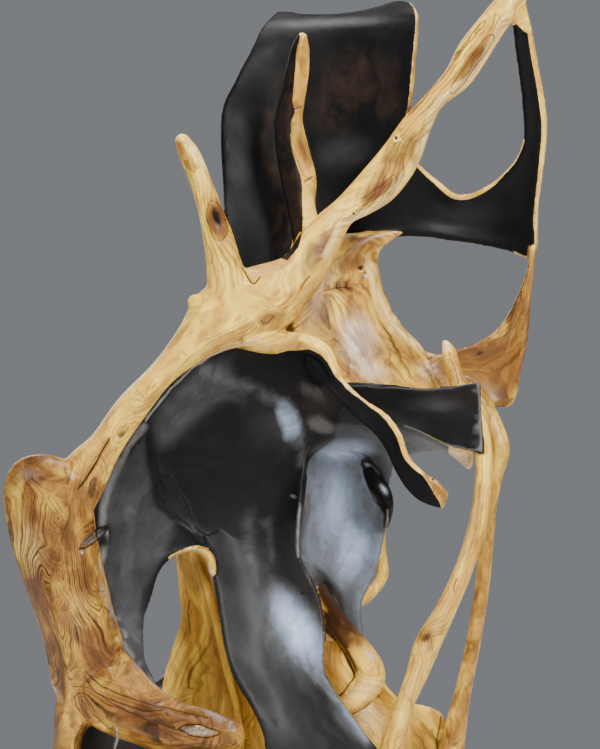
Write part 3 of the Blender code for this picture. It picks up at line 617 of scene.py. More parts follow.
neckCrackLine = [(109, 438), (103, 449), (99, 456), (93, 468), (86, 479), (78, 489)]
marks = {
    "neckCrack": lineMark(1.1, *neckCrackLine, sink=3.0, dark=1.0),
    "neckCrackStain": lineMark(5, *neckCrackLine, umber=0.45),
    "crotchCrack": lineMark(1.0, (242, 268), (248, 277), (251, 283), (255, 284), (260, 277), sink=2.2,
        dark=1.0),
    "neckSlit": lineMark(1.3, (310, 276), (306, 281), (301, 289), sink=1.6, dark=0.8),
    "beamLoopHigh": lineMark(0.8, (450, 93), (453, 83), (462, 70), (472, 56), (482, 42), (490, 34),
        (494, 37), (489, 48), (480, 60), (471, 73), (463, 84), (455, 93), (450, 93), sink=0.3, vein=0.9),
    "beamStainHigh": spotMark((472, 63), (40, 9), 54, red=0.95, umber=0.2, lines=0.6),
    "beamLoopLow": lineMark(0.8, (354, 207), (357, 200), (365, 197), (372, 191), (380, 187), (387, 180),
        (393, 175), (397, 179), (391, 187), (383, 193), (375, 199), (366, 205), (354, 207), sink=0.3,
        vein=0.75),
    "beamStainLow": spotMark((376, 191), (27, 9), 37, red=0.95, umber=0.2, lines=0.6),
    "beamOval": spotMark((398, 153), (31, 15), 52, rings=3.0, red=0.75, lines=1.0),
    "beamHole": spotMark((396, 138), (2.4, 2.2), 0, sink=3.0, dark=1.0),
    "beamDot": spotMark((354, 214), (1.7, 1.7), 0, sink=1.5, dark=1.0),
    "neckOval": spotMark((315, 252), (36, 15), 56, rings=4.0, red=0.85, lines=1.0),
    "neckOvalHeart": spotMark((316, 252), (15, 4), 60, red=1.0, rings=1.0, lines=0.8),
    "ringKnot": spotMark((267, 318), (13, 9), 30, sink=0.5, rings=3.0, red=0.6, lines=1.0),
    "ringKnotHeart": lineMark(0.8, (261, 320), (264, 324), (269, 323), (273, 317), vein=0.9),
    # Painted highlight: the beam's lit right edge is painted pale
    "beamBevel": lineMark(7, (326, 256), (333, 243), (338, 229), (350, 218), (371, 212), (388, 197),
        (403, 177), (416, 160), (426, 136), (432, 112), (449, 94), (472, 76), (487, 52), (499, 32),
        (512, 12), pale=0.8),
    "beamBevelEdge": lineMark(0.8, (321, 254), (328, 240), (334, 226), (347, 214), (368, 208), (384, 193),
        (399, 173), (411, 156), (421, 133), (428, 110), (446, 90), (469, 72), (484, 48), vein=0.3,
        sink=0.4),
    "tineKnotEdge": lineMark(1.0, (210, 203), (207, 212), (208, 224), (212, 235), (218, 241), (224, 238),
        (227, 228), (224, 216), (219, 206), (213, 201), (210, 203), sink=0.5, vein=0.8),
    "tineKnot": spotMark((217, 221), (13, 26), 14, sink=2.2, red=1.0, umber=0.2, rings=2.0, lines=1.0,
        round=True),
    "tineKnotHeart": spotMark((217, 217), (5, 14), 14, sink=1.6, rough=1.5, dark=1.0, round=True),
    "tineTipTop": areaMark(2, (179, 138), (190, 138), (198, 146), (206, 160), (209, 170), (201, 167),
        (191, 153), (183, 144), pale=1.0, round=True),
    "tineTipSide": areaMark(2, (175, 140), (181, 142), (190, 154), (199, 168), (194, 176), (184, 167),
        (178, 153), red=0.6, umber=0.25, sink=0.8, round=True),
    "tineDots": spotMark((226, 220), (1.3, 1.3), 0, sink=1, dark=0.9),
    "neckKnot": spotMark((122, 434), (3.5, 5), -30, sink=0.8, dark=0.5, vein=0.6),
    "neckKnotRings": spotMark((122, 434), (9, 15), -35, rings=2.0, lines=0.9, brown=0.4),
    # Painted highlights: pale lines where the rounded edges of the neck, the body and the arm catch the
    # light
    "neckBevel": lineMark(5.5, (144, 425), (134, 440), (121, 460), (113, 476), (107, 492), (103, 508),
        (102, 524), silver=0.22, haze=0.14, sink=0.6),
    "bodyEdge": lineMark(2.6, (108, 532), (105, 548), (102, 562), (101, 576), (105, 592), (113, 612),
        (126, 636), silver=0.4),
    "armBevel": lineMark(3.6, (122, 640), (137, 664), (155, 684), (177, 698), (199, 707), (219, 716),
        (234, 728), silver=0.32),
    "raggedKnot": spotMark((93, 538), (18, 5.5), 31, umber=0.9, sink=3.0, rough=3.0, silver=0.3),
    "raggedKnotEdge": lineMark(1.2, (79, 549), (84, 542), (92, 534), (101, 528), (108, 527), (104, 534),
        (96, 541), (86, 548), (79, 549), sink=2.5, dark=1.0),
    "raggedKnotSlit": lineMark(1.0, (83, 547), (90, 540), (98, 535), (106, 529), sink=3.0, dark=0.9),
    "raggedKnotRings": spotMark((93, 538), (30, 16), 31, rings=4.0, brown=0.6, lines=1.0),
    "bodySwirl": spotMark((88, 576), (15, 30), 8, rings=6.0, lines=1.0, brown=0.5),
    "bodySwirlLow": spotMark((45, 590), (10, 34), 24, rings=5.0, lines=1.0, brown=0.6),
    "bodyLoops": spotMark((88, 488), (9, 40), -12, rings=4.0, lines=1.0, brown=0.3),
    "bodyTopKnot": spotMark((36, 478), (14, 9), -10, rings=3.0, lines=0.9, brown=0.5),
    "bodyHoney": spotMark((30, 545), (14, 30), 15, pale=0.2),
    "bodyHoneyLow": spotMark((78, 620), (16, 30), -10, pale=0.12),
    "bodySilver": spotMark((27, 474), (11, 9), 10, silver=0.15),
    "armVeinUpper": lineMark(1.2, (86, 672), (96, 681), (110, 690), (127, 698), (146, 703), (166, 708),
        (188, 713), (208, 718), sink=1.0, dark=0.7, umber=0.4),
    "armVeinMiddle": lineMark(1.1, (84, 676), (92, 688), (104, 698), (120, 708), (138, 716), (156, 722),
        (174, 727), sink=1.0, dark=0.7, umber=0.4),
    "armVeinLower": lineMark(0.9, (83, 684), (86, 700), (95, 716), (110, 729), (130, 738), (152, 744),
        (178, 746), (204, 744), sink=0.7, dark=0.6, umber=0.4),
    "armFigure": spotMark((150, 717), (74, 20), -16, rings=5.0, lines=1.0, brown=0.5),
    "armEndKnot": spotMark((199, 731), (20, 5), -5, sink=2.0, rough=2.5, silver=0.4),
    "armEndKnotEdge": lineMark(1.2, (178, 729), (186, 725), (198, 725), (210, 728), (220, 733),
        (212, 737), (200, 737), (188, 734), (178, 729), sink=1.2, dark=0.9),
    "armSilver": spotMark((130, 683), (9, 5), -35, silver=0.15),
    "archWear": lineMark(1.2, (164, 567), (172, 559), (182, 553), (192, 550), (200, 550), silver=0.7),
    "creaseDeep": lineMark(5, (148, 442), (150, 460), (153, 481), (158, 503), (168, 514), (182, 524),
        (197, 536), (208, 547), sink=2.4),
    "faceEdge": areaMark(1, (297, 446), (308, 446), (311, 520), (299, 530), (294, 500), lacquer=True),
    "cheekWood": areaMark(1, (333, 244), (352, 236), (374, 234), (400, 232), (392, 244), (384, 262),
        (386, 290), (372, 330), (352, 330), (338, 290), bare=True),
    "elbowLoop": areaMark(1, (326, 626), (333, 632), (343, 648), (355, 668), (351, 700), (343, 696),
        (333, 682), (326, 668), bare=True),
    # From here to panelStreak, except holeStreak and bowlFray: painted sheen and highlights on the lacquer
    # of the left panel and the bowl, with glows, streaks, bands, the rim, and light olive and brown patches
    "panelGrey": areaMark(6, (147, 430), (149, 460), (153, 481), (158, 505), (170, 516), (178, 522),
        (166, 556), (152, 580), (143, 606), (141, 655), (128, 640), (112, 612), (104, 592), (100, 570),
        (104, 550), (109, 531), (99, 518), (102, 497), (117, 468), haze=0.08),
    "holeStreak": lineMark(1.0, (116, 728), (117, 738), (115, 748), silver=0.8),
    "bowlGlow": spotMark((289, 421), (27, 14), -70, haze=1.7),
    "bowlGlowTail": lineMark(7, (291, 434), (301, 446), (300, 462), haze=0.2),
    "bowlGreySheen": areaMark(15, (147, 414), (170, 385), (200, 358), (232, 350), (242, 376), (258, 392),
        (224, 406), (196, 430), (172, 452), (151, 454), haze=0.11),
    "bowlStreak": lineMark(9, (206, 370), (232, 381), (256, 390), (279, 402), haze=0.16),
    "bowlStreakLow": lineMark(7, (196, 392), (224, 398), (250, 406), haze=0.06),
    "bowlOlive": spotMark((321, 425), (20, 10), -18, silver=0.24),
    "bowlOliveHigh": spotMark((313, 391), (18, 8), -28, silver=0.12),
    "bowlBands": lineMark(10, (246, 520), (250, 550), (256, 582), haze=0.1),
    "bowlBandsRight": lineMark(6, (268, 522), (272, 558), haze=0.08),
    "bowlRim": lineMark(2.6, (300, 504), (298, 530), (299, 556), haze=0.4),
    "bowlFray": spotMark((293, 497), (5, 2.6), -15, silver=0.3, rough=1.2),
    "bowlGlowWide": spotMark((276, 425), (46, 40), -20, haze=0.06),
    "bowlBrown": spotMark((322, 404), (28, 24), -20, umber=0.5, haze=0.05),
    "bowlCloudLow": spotMark((250, 556), (40, 26), -20, haze=0.06),
    "panelStreak": lineMark(9, (131, 510), (128, 545), (126, 582), haze=0.05),
    "neckRim": lineMark(1.3, (146, 421), (158, 404), (175, 385), (196, 366), (221, 351), (244, 344),
        (262, 338), silver=0.6),
    "hoodFacet": areaMark(2, (256, 342), (266, 340), (273, 348), (271, 356), (262, 352), silver=0.12),
    # Painted sheen on the tongue's lacquer: a bright band, its tail, a lower streak and a faint one on the
    # left
    "tongueSheen": spotMark((298, 628), (60, 25), -62, haze=1.15),
    "tongueSheenTail": lineMark(7, (316, 672), (330, 690), (350, 716), (366, 740), haze=0.2),
    "tongueSheenLow": spotMark((350, 722), (40, 14), -50, haze=0.3),
    "tongueShade": spotMark((246, 655), (50, 15), -72, haze=0.05),
    "tongueDot": spotMark((302, 594), (2.2, 1.4), 30, sink=1.5, dark=1.0),
    "tongueWear": lineMark(2.0, (209, 564), (211, 574), (213, 584), (214, 598), silver=0.6, rough=0.6),
    "tongueFoldOne": lineMark(5, (290, 600), (296, 625), (302, 650), (312, 672), (326, 690), sink=1.2),
    "tongueFoldTwo": lineMark(4, (300, 658), (312, 680), (330, 700), (348, 722), sink=-1.0),
    # Painted sheen on the inner face's lacquer
    "faceSheen": spotMark((336, 500), (26, 62), 4, haze=0.42),
    "faceSheenLow": spotMark((352, 552), (20, 42), -14, haze=0.6),
    "faceTop": spotMark((345, 450), (40, 14), 5, haze=0.7),
    "faceStep": lineMark(0.9, (309, 446), (304, 462), (302, 480), (300, 500), (298, 522), (298, 545),
        (303, 562), (311, 584), silver=0.1),
    # Painted shade in the recess above the elbow: a brown darkening that also takes the painted sheen away
    "faceRecess": areaMark(22, (308, 556), (322, 560), (338, 574), (350, 590), (354, 608), (347, 624),
        (332, 614), (314, 592), umber=0.2, haze=-0.4),
    "faceFold": lineMark(4, (318, 563), (330, 574), (339, 585), (344, 598), (345, 612), (340, 622),
        sink=-1.8),
    "eyeHollow": lineMark(2.4, (362, 468), (367, 480), (375, 491), (382, 504), (385, 519), sink=3.5,
        rough=0.8, dark=0.6),
    "eyeBead": lineMark(3.4, (372, 474), (380, 484), (387, 496), (390, 508), sink=-2.8),
    # Painted highlights on the eye's bead and folds
    "eyeShine": spotMark((384, 489), (9, 4), -52, haze=0.75),
    "eyeShineTop": spotMark((367, 465), (6, 2.6), -20, haze=0.5),
    "eyeFoldOuter": lineMark(2.4, (366, 463), (373, 466), (379, 474), sink=-2.0, haze=0.12),
    "eyeFoldInner": lineMark(2.4, (360, 466), (363, 480), (370, 492), (376, 503), sink=-1.6, haze=0.16),
    "eyeFoldLow": lineMark(1.6, (388, 510), (388, 520), (386, 530), silver=0.3, umber=0.5),
    # Painted shade on the elbow: its upper run and shaded inner side darkened to brown, the crease inside
    # it near black, and under it brown
    "elbowShade": areaMark(9, (300, 562), (324, 574), (344, 600), (362, 626), (350, 642), (336, 634),
        (318, 622), (300, 596), umber=1.0, round=True),
    "elbowRun": spotMark((345, 628), (40, 20), -50, umber=0.75, round=True),
    "elbowSide": areaMark(1.6, (320, 606), (331, 614), (342, 630), (351, 641), (348, 651), (355, 660),
        (359, 669), (354, 677), (348, 663), (343, 651), (337, 642), (330, 634), (322, 630), umber=0.85),
    "elbowInner": lineMark(1.4, (324, 631), (330, 634), (337, 642), (343, 651), (348, 663), (354, 677),
        (347, 687), (339, 697), sink=3.0, dark=0.85),
    "elbowUnder": lineMark(1.3, (352, 714), (362, 709), (372, 702), (379, 696), sink=2.0, umber=0.7),
    # Painted light: the elbow's lower part is painted paler where it faces the light
    "elbowPale": spotMark((364, 690), (26, 14), 35, pale=0.5),
    "panelPale": spotMark((366, 722), (26, 20), 0, pale=0.9),
    # Painted shade: the wing is darkened to brown
    "wingShade": spotMark((486, 374), (60, 40), 14, umber=0.35, brown=0.3),
    "elbowKnot": spotMark((370, 655), (5, 10), 35, sink=1.6, rough=1.4, silver=0.45),
    "elbowRings": spotMark((370, 657), (13, 20), 35, rings=3.0, lines=0.5, brown=0.2),
    "panelFigure": spotMark((338, 672), (24, 40), -10, rings=4.0, lines=0.5),
    "panelCrack": lineMark(0.9, (441, 716), (440, 726), (437, 738), (438, 752), sink=2.0, dark=0.9),
    # Painted shade: the lower panel's corner is painted browner
    "panelShade": spotMark((430, 742), (30, 26), 0, brown=0.6, lines=0.5),
    "poleKnot": spotMark((426, 637), (7, 5), 20, sink=1.4, rough=1.6, dark=0.5, umber=0.6),
    "poleKnotRings": spotMark((426, 637), (13, 14), 0, rings=3.0, brown=0.5, lines=0.8),
    "poleSlit": lineMark(0.9, (457, 579), (455, 585), (454, 593), sink=1.2, dark=0.8),
    "poleSlitTop": lineMark(0.9, (452, 362), (455, 372), (458, 385), sink=0.8, vein=0.8),
    # Painted shade: the front pole's shaded left side
    "poleSide": lineMark(3, (475, 452), (473, 476), (472, 502), umber=0.55),
    "poleTop": spotMark((444, 345), (8, 11), 0, pale=1.0),
    "poleWear": lineMark(5, (478, 500), (464, 560), (448, 602), (432, 634), (414, 680), (400, 716),
        pale=0.25),
    # Painted shade: the rear pole's low part darkened to brown
    "rearPoleShade": lineMark(9, (470, 690), (456, 732), (450, 750), umber=0.3, lines=0.5),
    "columnStreak": lineMark(0.9, (190, 600), (189, 612), (190, 624), (191, 634), sink=0.4, vein=0.8),
    # Painted shade: the whole column is darkened a little
    "columnShade": spotMark((195, 668), (64, 120), 0, umber=0.1, red=0.2),
    # Painted sheen: a broad faint highlight on the tongue
    "tongueGlow": spotMark((290, 632), (74, 42), -62, haze=0.22),
    "columnFigure": spotMark((190, 690), (26, 40), 0, rings=4.0, lines=0.6, brown=0.2),
    # Painted shade: the column's top, under the bowl, darkened to brown
    "columnTopShade": spotMark((196, 575), (18, 26), 0, umber=0.5),
    "cheekHole": spotMark((361, 268), (4.5, 3), 20, sink=3.0, dark=1.0),
    "cheekKnob": spotMark((367, 276), (4, 3), 0, sink=-1.5, silver=0.9),
    "cheekStain": spotMark((352, 262), (26, 12), 10, umber=0.55, rings=2.0, lines=0.8),
    "cheekEye": spotMark((343, 286), (20, 8), 4, rings=3.0, lines=1.0, brown=0.6, sink=0.6),
    "cheekLine": lineMark(0.9, (324, 291), (336, 288), (349, 288), (361, 292), sink=0.5, vein=0.8),
    # Painted highlights: the cheek's lit ridge and the bright patches on its polished wood
    "cheekRidge": lineMark(6, (366, 258), (373, 276), (378, 296), (388, 316), (402, 334), (420, 347),
        (432, 353), pale=0.75),
    "cheekBright": spotMark((358, 342), (26, 42), 14, haze=1.0),
    "cheekBrightLow": spotMark((372, 372), (26, 16), 0, haze=0.7),
    "cheekTop": areaMark(8, (342, 246), (356, 236), (376, 230), (392, 232), (380, 248), (368, 262),
        (356, 272), (340, 272), umber=0.3, brown=0.4, lines=0.8),
    "cheekRing": spotMark((376, 366), (12, 9), 0, rings=2.5, lines=0.8),
    # Painted shade on the cheek's left part
    "cheekShade": spotMark((318, 300), (22, 30), 20, umber=0.3, brown=0.5, lines=0.6),
    "wingKnot": spotMark((480, 353), (5, 3), 20, sink=1.0, dark=0.5, vein=0.5),
    "wingFigure": spotMark((488, 366), (40, 26), 14, rings=4.0, lines=1.0, brown=0.3),
    "wingFold": lineMark(4, (516, 376), (512, 390), (511, 404), sink=1.6, umber=0.4),
    # Painted highlight on the wing
    "wingGlow": spotMark((430, 370), (18, 16), 0, haze=0.5),
    # Painted highlight along the horn's cut end
    "hornEnd": lineMark(2.6, (478, 384), (480, 405), (481, 428), (481, 451), silver=0.3),
    "hornTop": lineMark(0.9, (350, 386), (392, 388), (430, 390), (456, 387), (478, 383), silver=0.12),
    "hornLow": lineMark(1.1, (405, 426), (422, 432), (446, 444), (464, 448), (480, 451), silver=0.3),
    # Painted sheen on the horn's lacquer
    "hornGlow": spotMark((430, 404), (44, 12), 0, haze=0.1),
    "hornWood": spotMark((464, 461), (12, 10), 0, umber=0.6, lines=0.6),
    "hoodBlack": areaMark(1, (196, 368), (223, 351), (242, 347), (256, 352), (267, 357), (288, 351),
        (309, 349), (319, 354), (327, 361), (334, 374), (346, 388), (362, 401), (378, 412), (387, 423),
        (394, 434), (399, 448), (407, 462), (418, 474), (430, 483), (427, 492), (424, 508), (404, 496),
        (382, 464), (370, 440), (340, 418), (312, 394), (260, 380), (200, 380), lacquer=True),
    "strandFace": areaMark(1.2, (421, 472), (434, 472), (444, 482), (451, 493), (449, 505), (442, 509),
        (437, 498), (430, 486), bare=True, umber=0.4, red=0.6, round=True),
    "strandHole": spotMark((433, 479), (1.6, 1.6), 0, sink=2.0, dark=1.0),
    # Painted highlight along the strand's lit edge
    "strandGlow": lineMark(3, (340, 380), (366, 404), (386, 425), (397, 452), (412, 478), pale=0.4),
    # Painted shade: the middle tine's left face, which lies in shade, is lacquered black with a brown tint
    "tineBlack": areaMark(1, (300, 35), (297, 46), (296, 65), (294, 85), (293, 101), (295, 112),
        (291, 122), (290, 136), (293, 151), (296, 163), (300, 174), (302, 190), (303, 210), (303, 231),
        (298, 247), (288, 260), (276, 258), (268, 200), (262, 150), (266, 108), (278, 78), (284, 50),
        (294, 30), lacquer=True, umber=0.7),
    "bandTopBlack": areaMark(1, (511, 27), (518, 25), (522, 32), (521, 54), (513, 54), lacquer=True),
    "tineGroove": lineMark(3, (297, 42), (294, 56), (292, 72), (289, 92), umber=0.5, sink=0.6),
    "tineScoop": spotMark((305, 150), (8, 27), 16, sink=2.0, red=0.85),
    "tineScoopEdge": lineMark(0.8, (292, 122), (291, 138), (295, 156), (302, 172), (311, 181), (317, 178),
        vein=0.6),
    "tineNotch": lineMark(2.0, (305, 182), (312, 178), sink=2.2, umber=0.6),
    "tineNotchTop": lineMark(2.0, (294, 109), (302, 107), sink=1.8, umber=0.6),
    "armFlow": flowMark(9, 1.0,
        [(80, 664), (100, 672), (125, 684), (152, 696), (182, 706), (210, 715), (236, 727)],
        [(82, 700), (92, 718), (112, 738), (142, 750), (176, 754), (208, 750), (238, 740)]),
    "bodyFlowRight": flowMark(8, 0.8, [(70, 462), (62, 495), (56, 530), (52, 570), (58, 615), (66, 660)],
        [(104, 468), (96, 500), (100, 530), (94, 565), (98, 605), (112, 650)]),
    "bodyFlowLeft": flowMark(8, 0.8, [(8, 500), (12, 540), (24, 585), (38, 630), (54, 680)],
        [(56, 482), (46, 520), (44, 560), (56, 605), (70, 655)]),
    "neckFlow": flowMark(8, 0.8, [(148, 392), (188, 350), (230, 322), (272, 300), (308, 268)],
        [(140, 432), (176, 384), (224, 352), (280, 342), (330, 300)]),
    "beamFlow": flowMark(6, 1.0, [(306, 250), (342, 208), (384, 164), (408, 118), (444, 72), (484, 22)],
        [(342, 264), (374, 220), (406, 182), (430, 130), (470, 82), (506, 28)]),
    "columnFlow": flowMark(8, 0.1, [(176, 572), (178, 620), (168, 662), (158, 704), (154, 750)],
        [(204, 572), (214, 620), (222, 662), (230, 704), (240, 750)]),
    "wingFlow": flowMark(7, 0.5, [(428, 356), (456, 350), (486, 344), (508, 322), (524, 286), (532, 250)],
        [(436, 404), (470, 410), (502, 408), (520, 380), (530, 330), (538, 250)]),
    "cheekFlow": flowMark(9, 0.4, [(318, 270), (322, 310), (338, 345), (352, 392)],
        [(378, 256), (384, 306), (410, 345), (438, 392)]),
    "tineFlow": flowMark(5, 0.9, [(186, 160), (196, 200), (206, 240), (214, 290)],
        [(204, 150), (222, 195), (234, 235), (250, 280)]),
    "poleFlow": flowMark(5, 0.55,
        [(448, 345), (464, 400), (472, 455), (464, 520), (448, 580), (424, 625), (402, 690), (380, 748)],
        [(462, 345), (484, 400), (494, 455), (486, 530), (468, 590), (440, 645), (424, 695), (410, 748)]),
    "panelFlow": flowMark(8, 0.4, [(318, 640), (320, 680), (330, 715), (345, 748)],
        [(352, 632), (384, 684), (420, 708), (448, 748)]),
    # Painted sheen on the palm's lacquer: the highlight on its rolled top and faint clouds
    "palmRoll": spotMark((330, 22), (92, 7), 2, haze=0.16),
    "palmCloud": spotMark((222, 210), (18, 34), 0, haze=0.02),
    "palmCloudLow": spotMark((345, 152), (40, 24), 10, haze=0.07),
    "palmSpecks": spotMark((356, 92), (66, 56), 10, specks=1.0, umber=0.5),
    "palmSpecksLow": spotMark((388, 118), (18, 8), 20, specks=1.0),
    # Painted sheen on the band's lacquer
    "bandCloud": spotMark((470, 214), (60, 22), 0, haze=0.02),
    "bandCrack": lineMark(0.9, (515, 30), (520, 33), (525, 37), sink=1.0, dark=0.8),
    "armEndHeart": lineMark(1.8, (187, 732), (197, 730), (208, 731), umber=1.0, sink=0.8),
    "bandWear": lineMark(3, (540, 104), (545, 134), (541, 180), (537, 214), (533, 250), pale=0.5),
}

# Hair-fine lines between two guides, each with its own start and end: their count, their width and
# their silver, and then the two guides
threads = {
    "creaseThread": (
        9, 0.5, 0.03,
        [(149, 452), (150, 476), (156, 500), (174, 518), (196, 536)],
        [(162, 458), (176, 482), (190, 502), (198, 522), (209, 546)],
    ),
    "tongueThread": (
        6, 0.6, 0.14,
        [(286, 640), (300, 664), (322, 690), (350, 716)],
        [(300, 610), (310, 644), (330, 676), (356, 706)],
    ),
}
threading = {
    "cuts": 4, "stray": 0.35,  # how far a line strays from its place between its neighbours
    "trim": 0.24, "trimSwing": 0.22,  # shares of the guide that a line leaves out at an end
    "strayTurn": 5.1, "startTurn": 2.3, "endTurn": 3.7,  # radians from one line to the next
}


def trimmed(turn):
    return threading["trim"] + threading["trimSwing"] * math.sin(turn)


for name, (count, wide, silver, *guides) in threads.items():
    first, last = (smoothRun(guide, threading["cuts"]) for guide in guides)
    for i in range(count):
        share = (i + 0.5 + threading["stray"] * math.sin(threading["strayTurn"] * i)) / count
        start = int(len(first) * trimmed(threading["startTurn"] * i))
        end = len(first) - int(len(first) * trimmed(threading["endTurn"] * i + 1))
        line = (first * (1 - share) + last * share)[start:end].tolist()
        marks[f"{name}{i}"] = lineMark(wide, *line, silver=silver)

blended = ["dark", "vein", "silver", "red", "umber", "pale", "specks", "lines", "brown"]
effects = blended + ["sink", "haze", "rings", "flow", "flowShare", "flowNext"]
ringWide = 5.0  # millimetres from one growth ring to the next
marking = {
    "turned": 0.3,  # how far a surface can turn away and still be seen
    "past": 0.1, "behind": 0.014,  # metres that a look goes on past a point, and that it forgives
    "facing": 0.35,  # how squarely a surface faces the camera where a mark is at its full strength
    "wavers": 0.08, "wavering": 1.3,  # per step and in steps, how the marks waver
    "cuts": 3,
    "lineWide": 0.9, "lineSwing": 0.45,  # a line's width and how that differs along it
    "margin": 8, "flowMargin": 4,  # steps round a mark within which it is worked out
    "flowFull": 1.8, "flowFade": 1.25, "flowLead": 4,  # where a flow ends, and how it yields
    "unforced": -99.0, "forcedFrom": -6.0, "spotFrom": -1.0, "fineFrom": -0.5,  # reaches
    "sharpLine": 2.2, "sharpSpot": 6,  # steps, under which a mark keeps a sharp edge
    "sharpFull": 1.4, "spotFull": 1.7, "areaFull": 1.2,  # how soon a mark is at its full strength
    "rough": 260, "roughSilver": 0.5,  # per metre, and silver lost in the low places
    "seed": 1,
}
noise.seed_set(marking["seed"])  # so that the marks waver in the same way on each run

wholeTree = BVHTree.FromPolygons(pointList, triangles.tolist())
eye = Vector((cameraSpot[0], -view["away"], cameraSpot[2]))


def facesCamera(points, normals):
    # true where nothing stands between a point and the camera
    clear = np.zeros(len(points), bool)
    for i in np.flatnonzero(normals[:, 1] < marking["turned"]):
        way = Vector(points[i]) - eye
        far = way.length
        gap = wholeTree.ray_cast(eye, way / far, far + marking["past"])[3]
        clear[i] = gap is None or gap > far - marking["behind"]
    return clear


def gapToLine(flat, start, end):
    way = end - start
    share = np.clip(((flat - start) @ way) / max(way @ way, least["way"]), 0, 1)
    return np.linalg.norm(flat - start - share[:, None] * way, axis=1)


def gapToRun(flat, run):
    return np.min([gapToLine(flat, start, end) for start, end in zip(run, run[1:])], axis=0)


def markReach(mark, flat, swing):
    # 0 at the edge of the mark, 1 at its middle, and less than 0 outside it
    if "line" in mark:
        wide = mark["wide"] * (marking["lineWide"] + marking["lineSwing"] * swing)
        return 1 - gapToRun(flat, smoothRun(mark["line"], marking["cuts"])) / wide
    if "area" in mark:
        ring = np.array(mark["area"] + mark["area"][:1], float)
        inside = np.zeros(len(flat), bool)
        for start, end in zip(ring, ring[1:]):
            level = (start[1] > flat[:, 1]) != (end[1] > flat[:, 1])
            rise = end[1] - start[1] if end[1] != start[1] else least["way"]
            slant = (flat[:, 1] - start[1]) * (end[0] - start[0]) / rise
            inside ^= level & (flat[:, 0] < start[0] + slant)
        gap = gapToRun(flat, ring)
        return np.where(inside, gap, -gap) / mark["soft"]
    turn = math.radians(mark["lean"])
    away = flat - np.array(mark["spot"], float)
    a = (away[:, 0] * math.cos(turn) - away[:, 1] * math.sin(turn)) / mark["size"][0]
    b = (away[:, 0] * math.sin(turn) + away[:, 1] * math.cos(turn)) / mark["size"][1]
    return 1 - np.hypot(a, b)


def closeTo(mark, flat):
    # the points near enough to the mark to be changed by it
    guides = [mark[key] for key in ("line", "area", "from", "to") if key in mark] or [[mark["spot"]]]
    corners = np.vstack(guides)
    wide = 2 * max(mark["size"]) if "spot" in mark else mark.get("wide", marking["flowMargin"])
    margin = marking["margin"] + wide
    return np.flatnonzero(((flat > corners.min(0) - margin) & (flat < corners.max(0) + margin)).all(1))


def drawFlow(mark, flat, facing, at, fields):
    # growth lines between two guides, where no other flow is nearer its own middle
    first, last = np.array(mark["from"]), np.array(mark["to"])
    before, after, band = (
        gapToRun(flat, smoothRun(guide, marking["cuts"])) for guide in (first, last, (first + last) / 2)
    )
    half = np.linalg.norm(first - last, axis=1).max() / 2
    inside = np.clip(marking["flowFull"] - band / half * marking["flowFade"], 0, 1) * facing
    best = fields["flowShare"][at]
    better = inside > best
    fields["flowNext"][at] = np.maximum(fields["flowNext"][at], np.minimum(best, inside))
    at, inside = at[better], inside[better]
    fields["flow"][at] = (before / (before + after))[better] * mark["count"] * ringWide
    fields["flowShare"][at] = inside
    fields["lines"][at] = np.maximum(fields["lines"][at], mark["lines"] * inside)


def markFields(points, normals):
    # the effects of all the marks at each point, the finish that they force and where they are fine
    seen = np.flatnonzero(facesCamera(points, normals))
    flat = seenAt(points[seen])
    often = marking["wavers"]
    swing = np.array([noise.noise_vector(Vector((p[0] * often, p[1] * often, 0.5))) for p in flat])
    flat += swing[:, :2] * marking["wavering"]
    facing = np.clip(-normals[seen, 1] / marking["facing"], 0, 1)
    fields = {name: np.zeros(len(points)) for name in effects}
    forced = np.full((len(points), 2), marking["unforced"])
    fine = np.zeros(len(points), bool)
    for mark in marks.values():
        close = closeTo(mark, flat)
        if "from" in mark:
            drawFlow(mark, flat[close], facing[close], seen[close], fields)
            continue
        reach = markReach(mark, flat[close], swing[close, 2])
        forcing = "lacquer" in mark or "bare" in mark
        outmost = marking["forcedFrom"] if forcing else marking["spotFrom"] if "spot" in mark else 0.0
        near = np.flatnonzero(reach > outmost)
        at = seen[close[near]]
        reach = reach[near]
        if forcing:
            column = 0 if "lacquer" in mark else 1
            forced[at, column] = np.maximum(forced[at, column], reach * mark["soft"] * step * 1000)
        inside = np.clip(reach, 0, 1)
        sharpLine = "line" in mark and mark["wide"] < marking["sharpLine"]
        sharp = sharpLine or "spot" in mark and max(mark["size"]) < marking["sharpSpot"]
        full = marking["sharpFull" if sharp else "spotFull" if "spot" in mark else "areaFull"]
        share = np.clip(inside * full, 0, 1)
        turned = np.ones(len(at)) if "round" in mark else facing[close[near]]
        if not sharp:
            share = eased(share) * turned
        rough = np.zeros(len(at))
        if "rough" in mark:
            rough = np.array([noise.noise(Vector(points[i] * marking["rough"])) for i in at])
            fields["silver"][at] -= marking["roughSilver"] * np.clip(-rough, 0, 1) * inside
        sink = mark.get("sink", 0) * inside * (2 - inside)
        fields["sink"][at] += sink + mark.get("rough", 0) * rough * share
        for effect in blended:
            if effect in mark:
                fields[effect][at] = np.maximum(fields[effect][at], mark[effect] * share)
        # the sheen marks add painted highlight, and take it away below zero
        if "haze" in mark:
            fields["haze"][at] += mark["haze"] * eased(inside) * turned
        if "rings" in mark:
            fields["rings"][at] += mark["rings"] * ringWide * eased(np.clip((reach + 1) / 2, 0, 1))
        if sharp:
            fine[at] |= reach > marking["fineFrom"]
    lead = np.clip((fields["flowShare"] - fields["flowNext"]) * marking["flowLead"], 0, 1)
    fields["flowShare"] = eased(fields["flowShare"]) * lead
    return fields, forced, fine


def finishOf(woodGap, lacquerGap, forced):
    # millimetres into the lacquer, or below zero into the wood
    return np.minimum(np.maximum((woodGap - lacquerGap) * 1000, forced[:, 0]), -forced[:, 1])


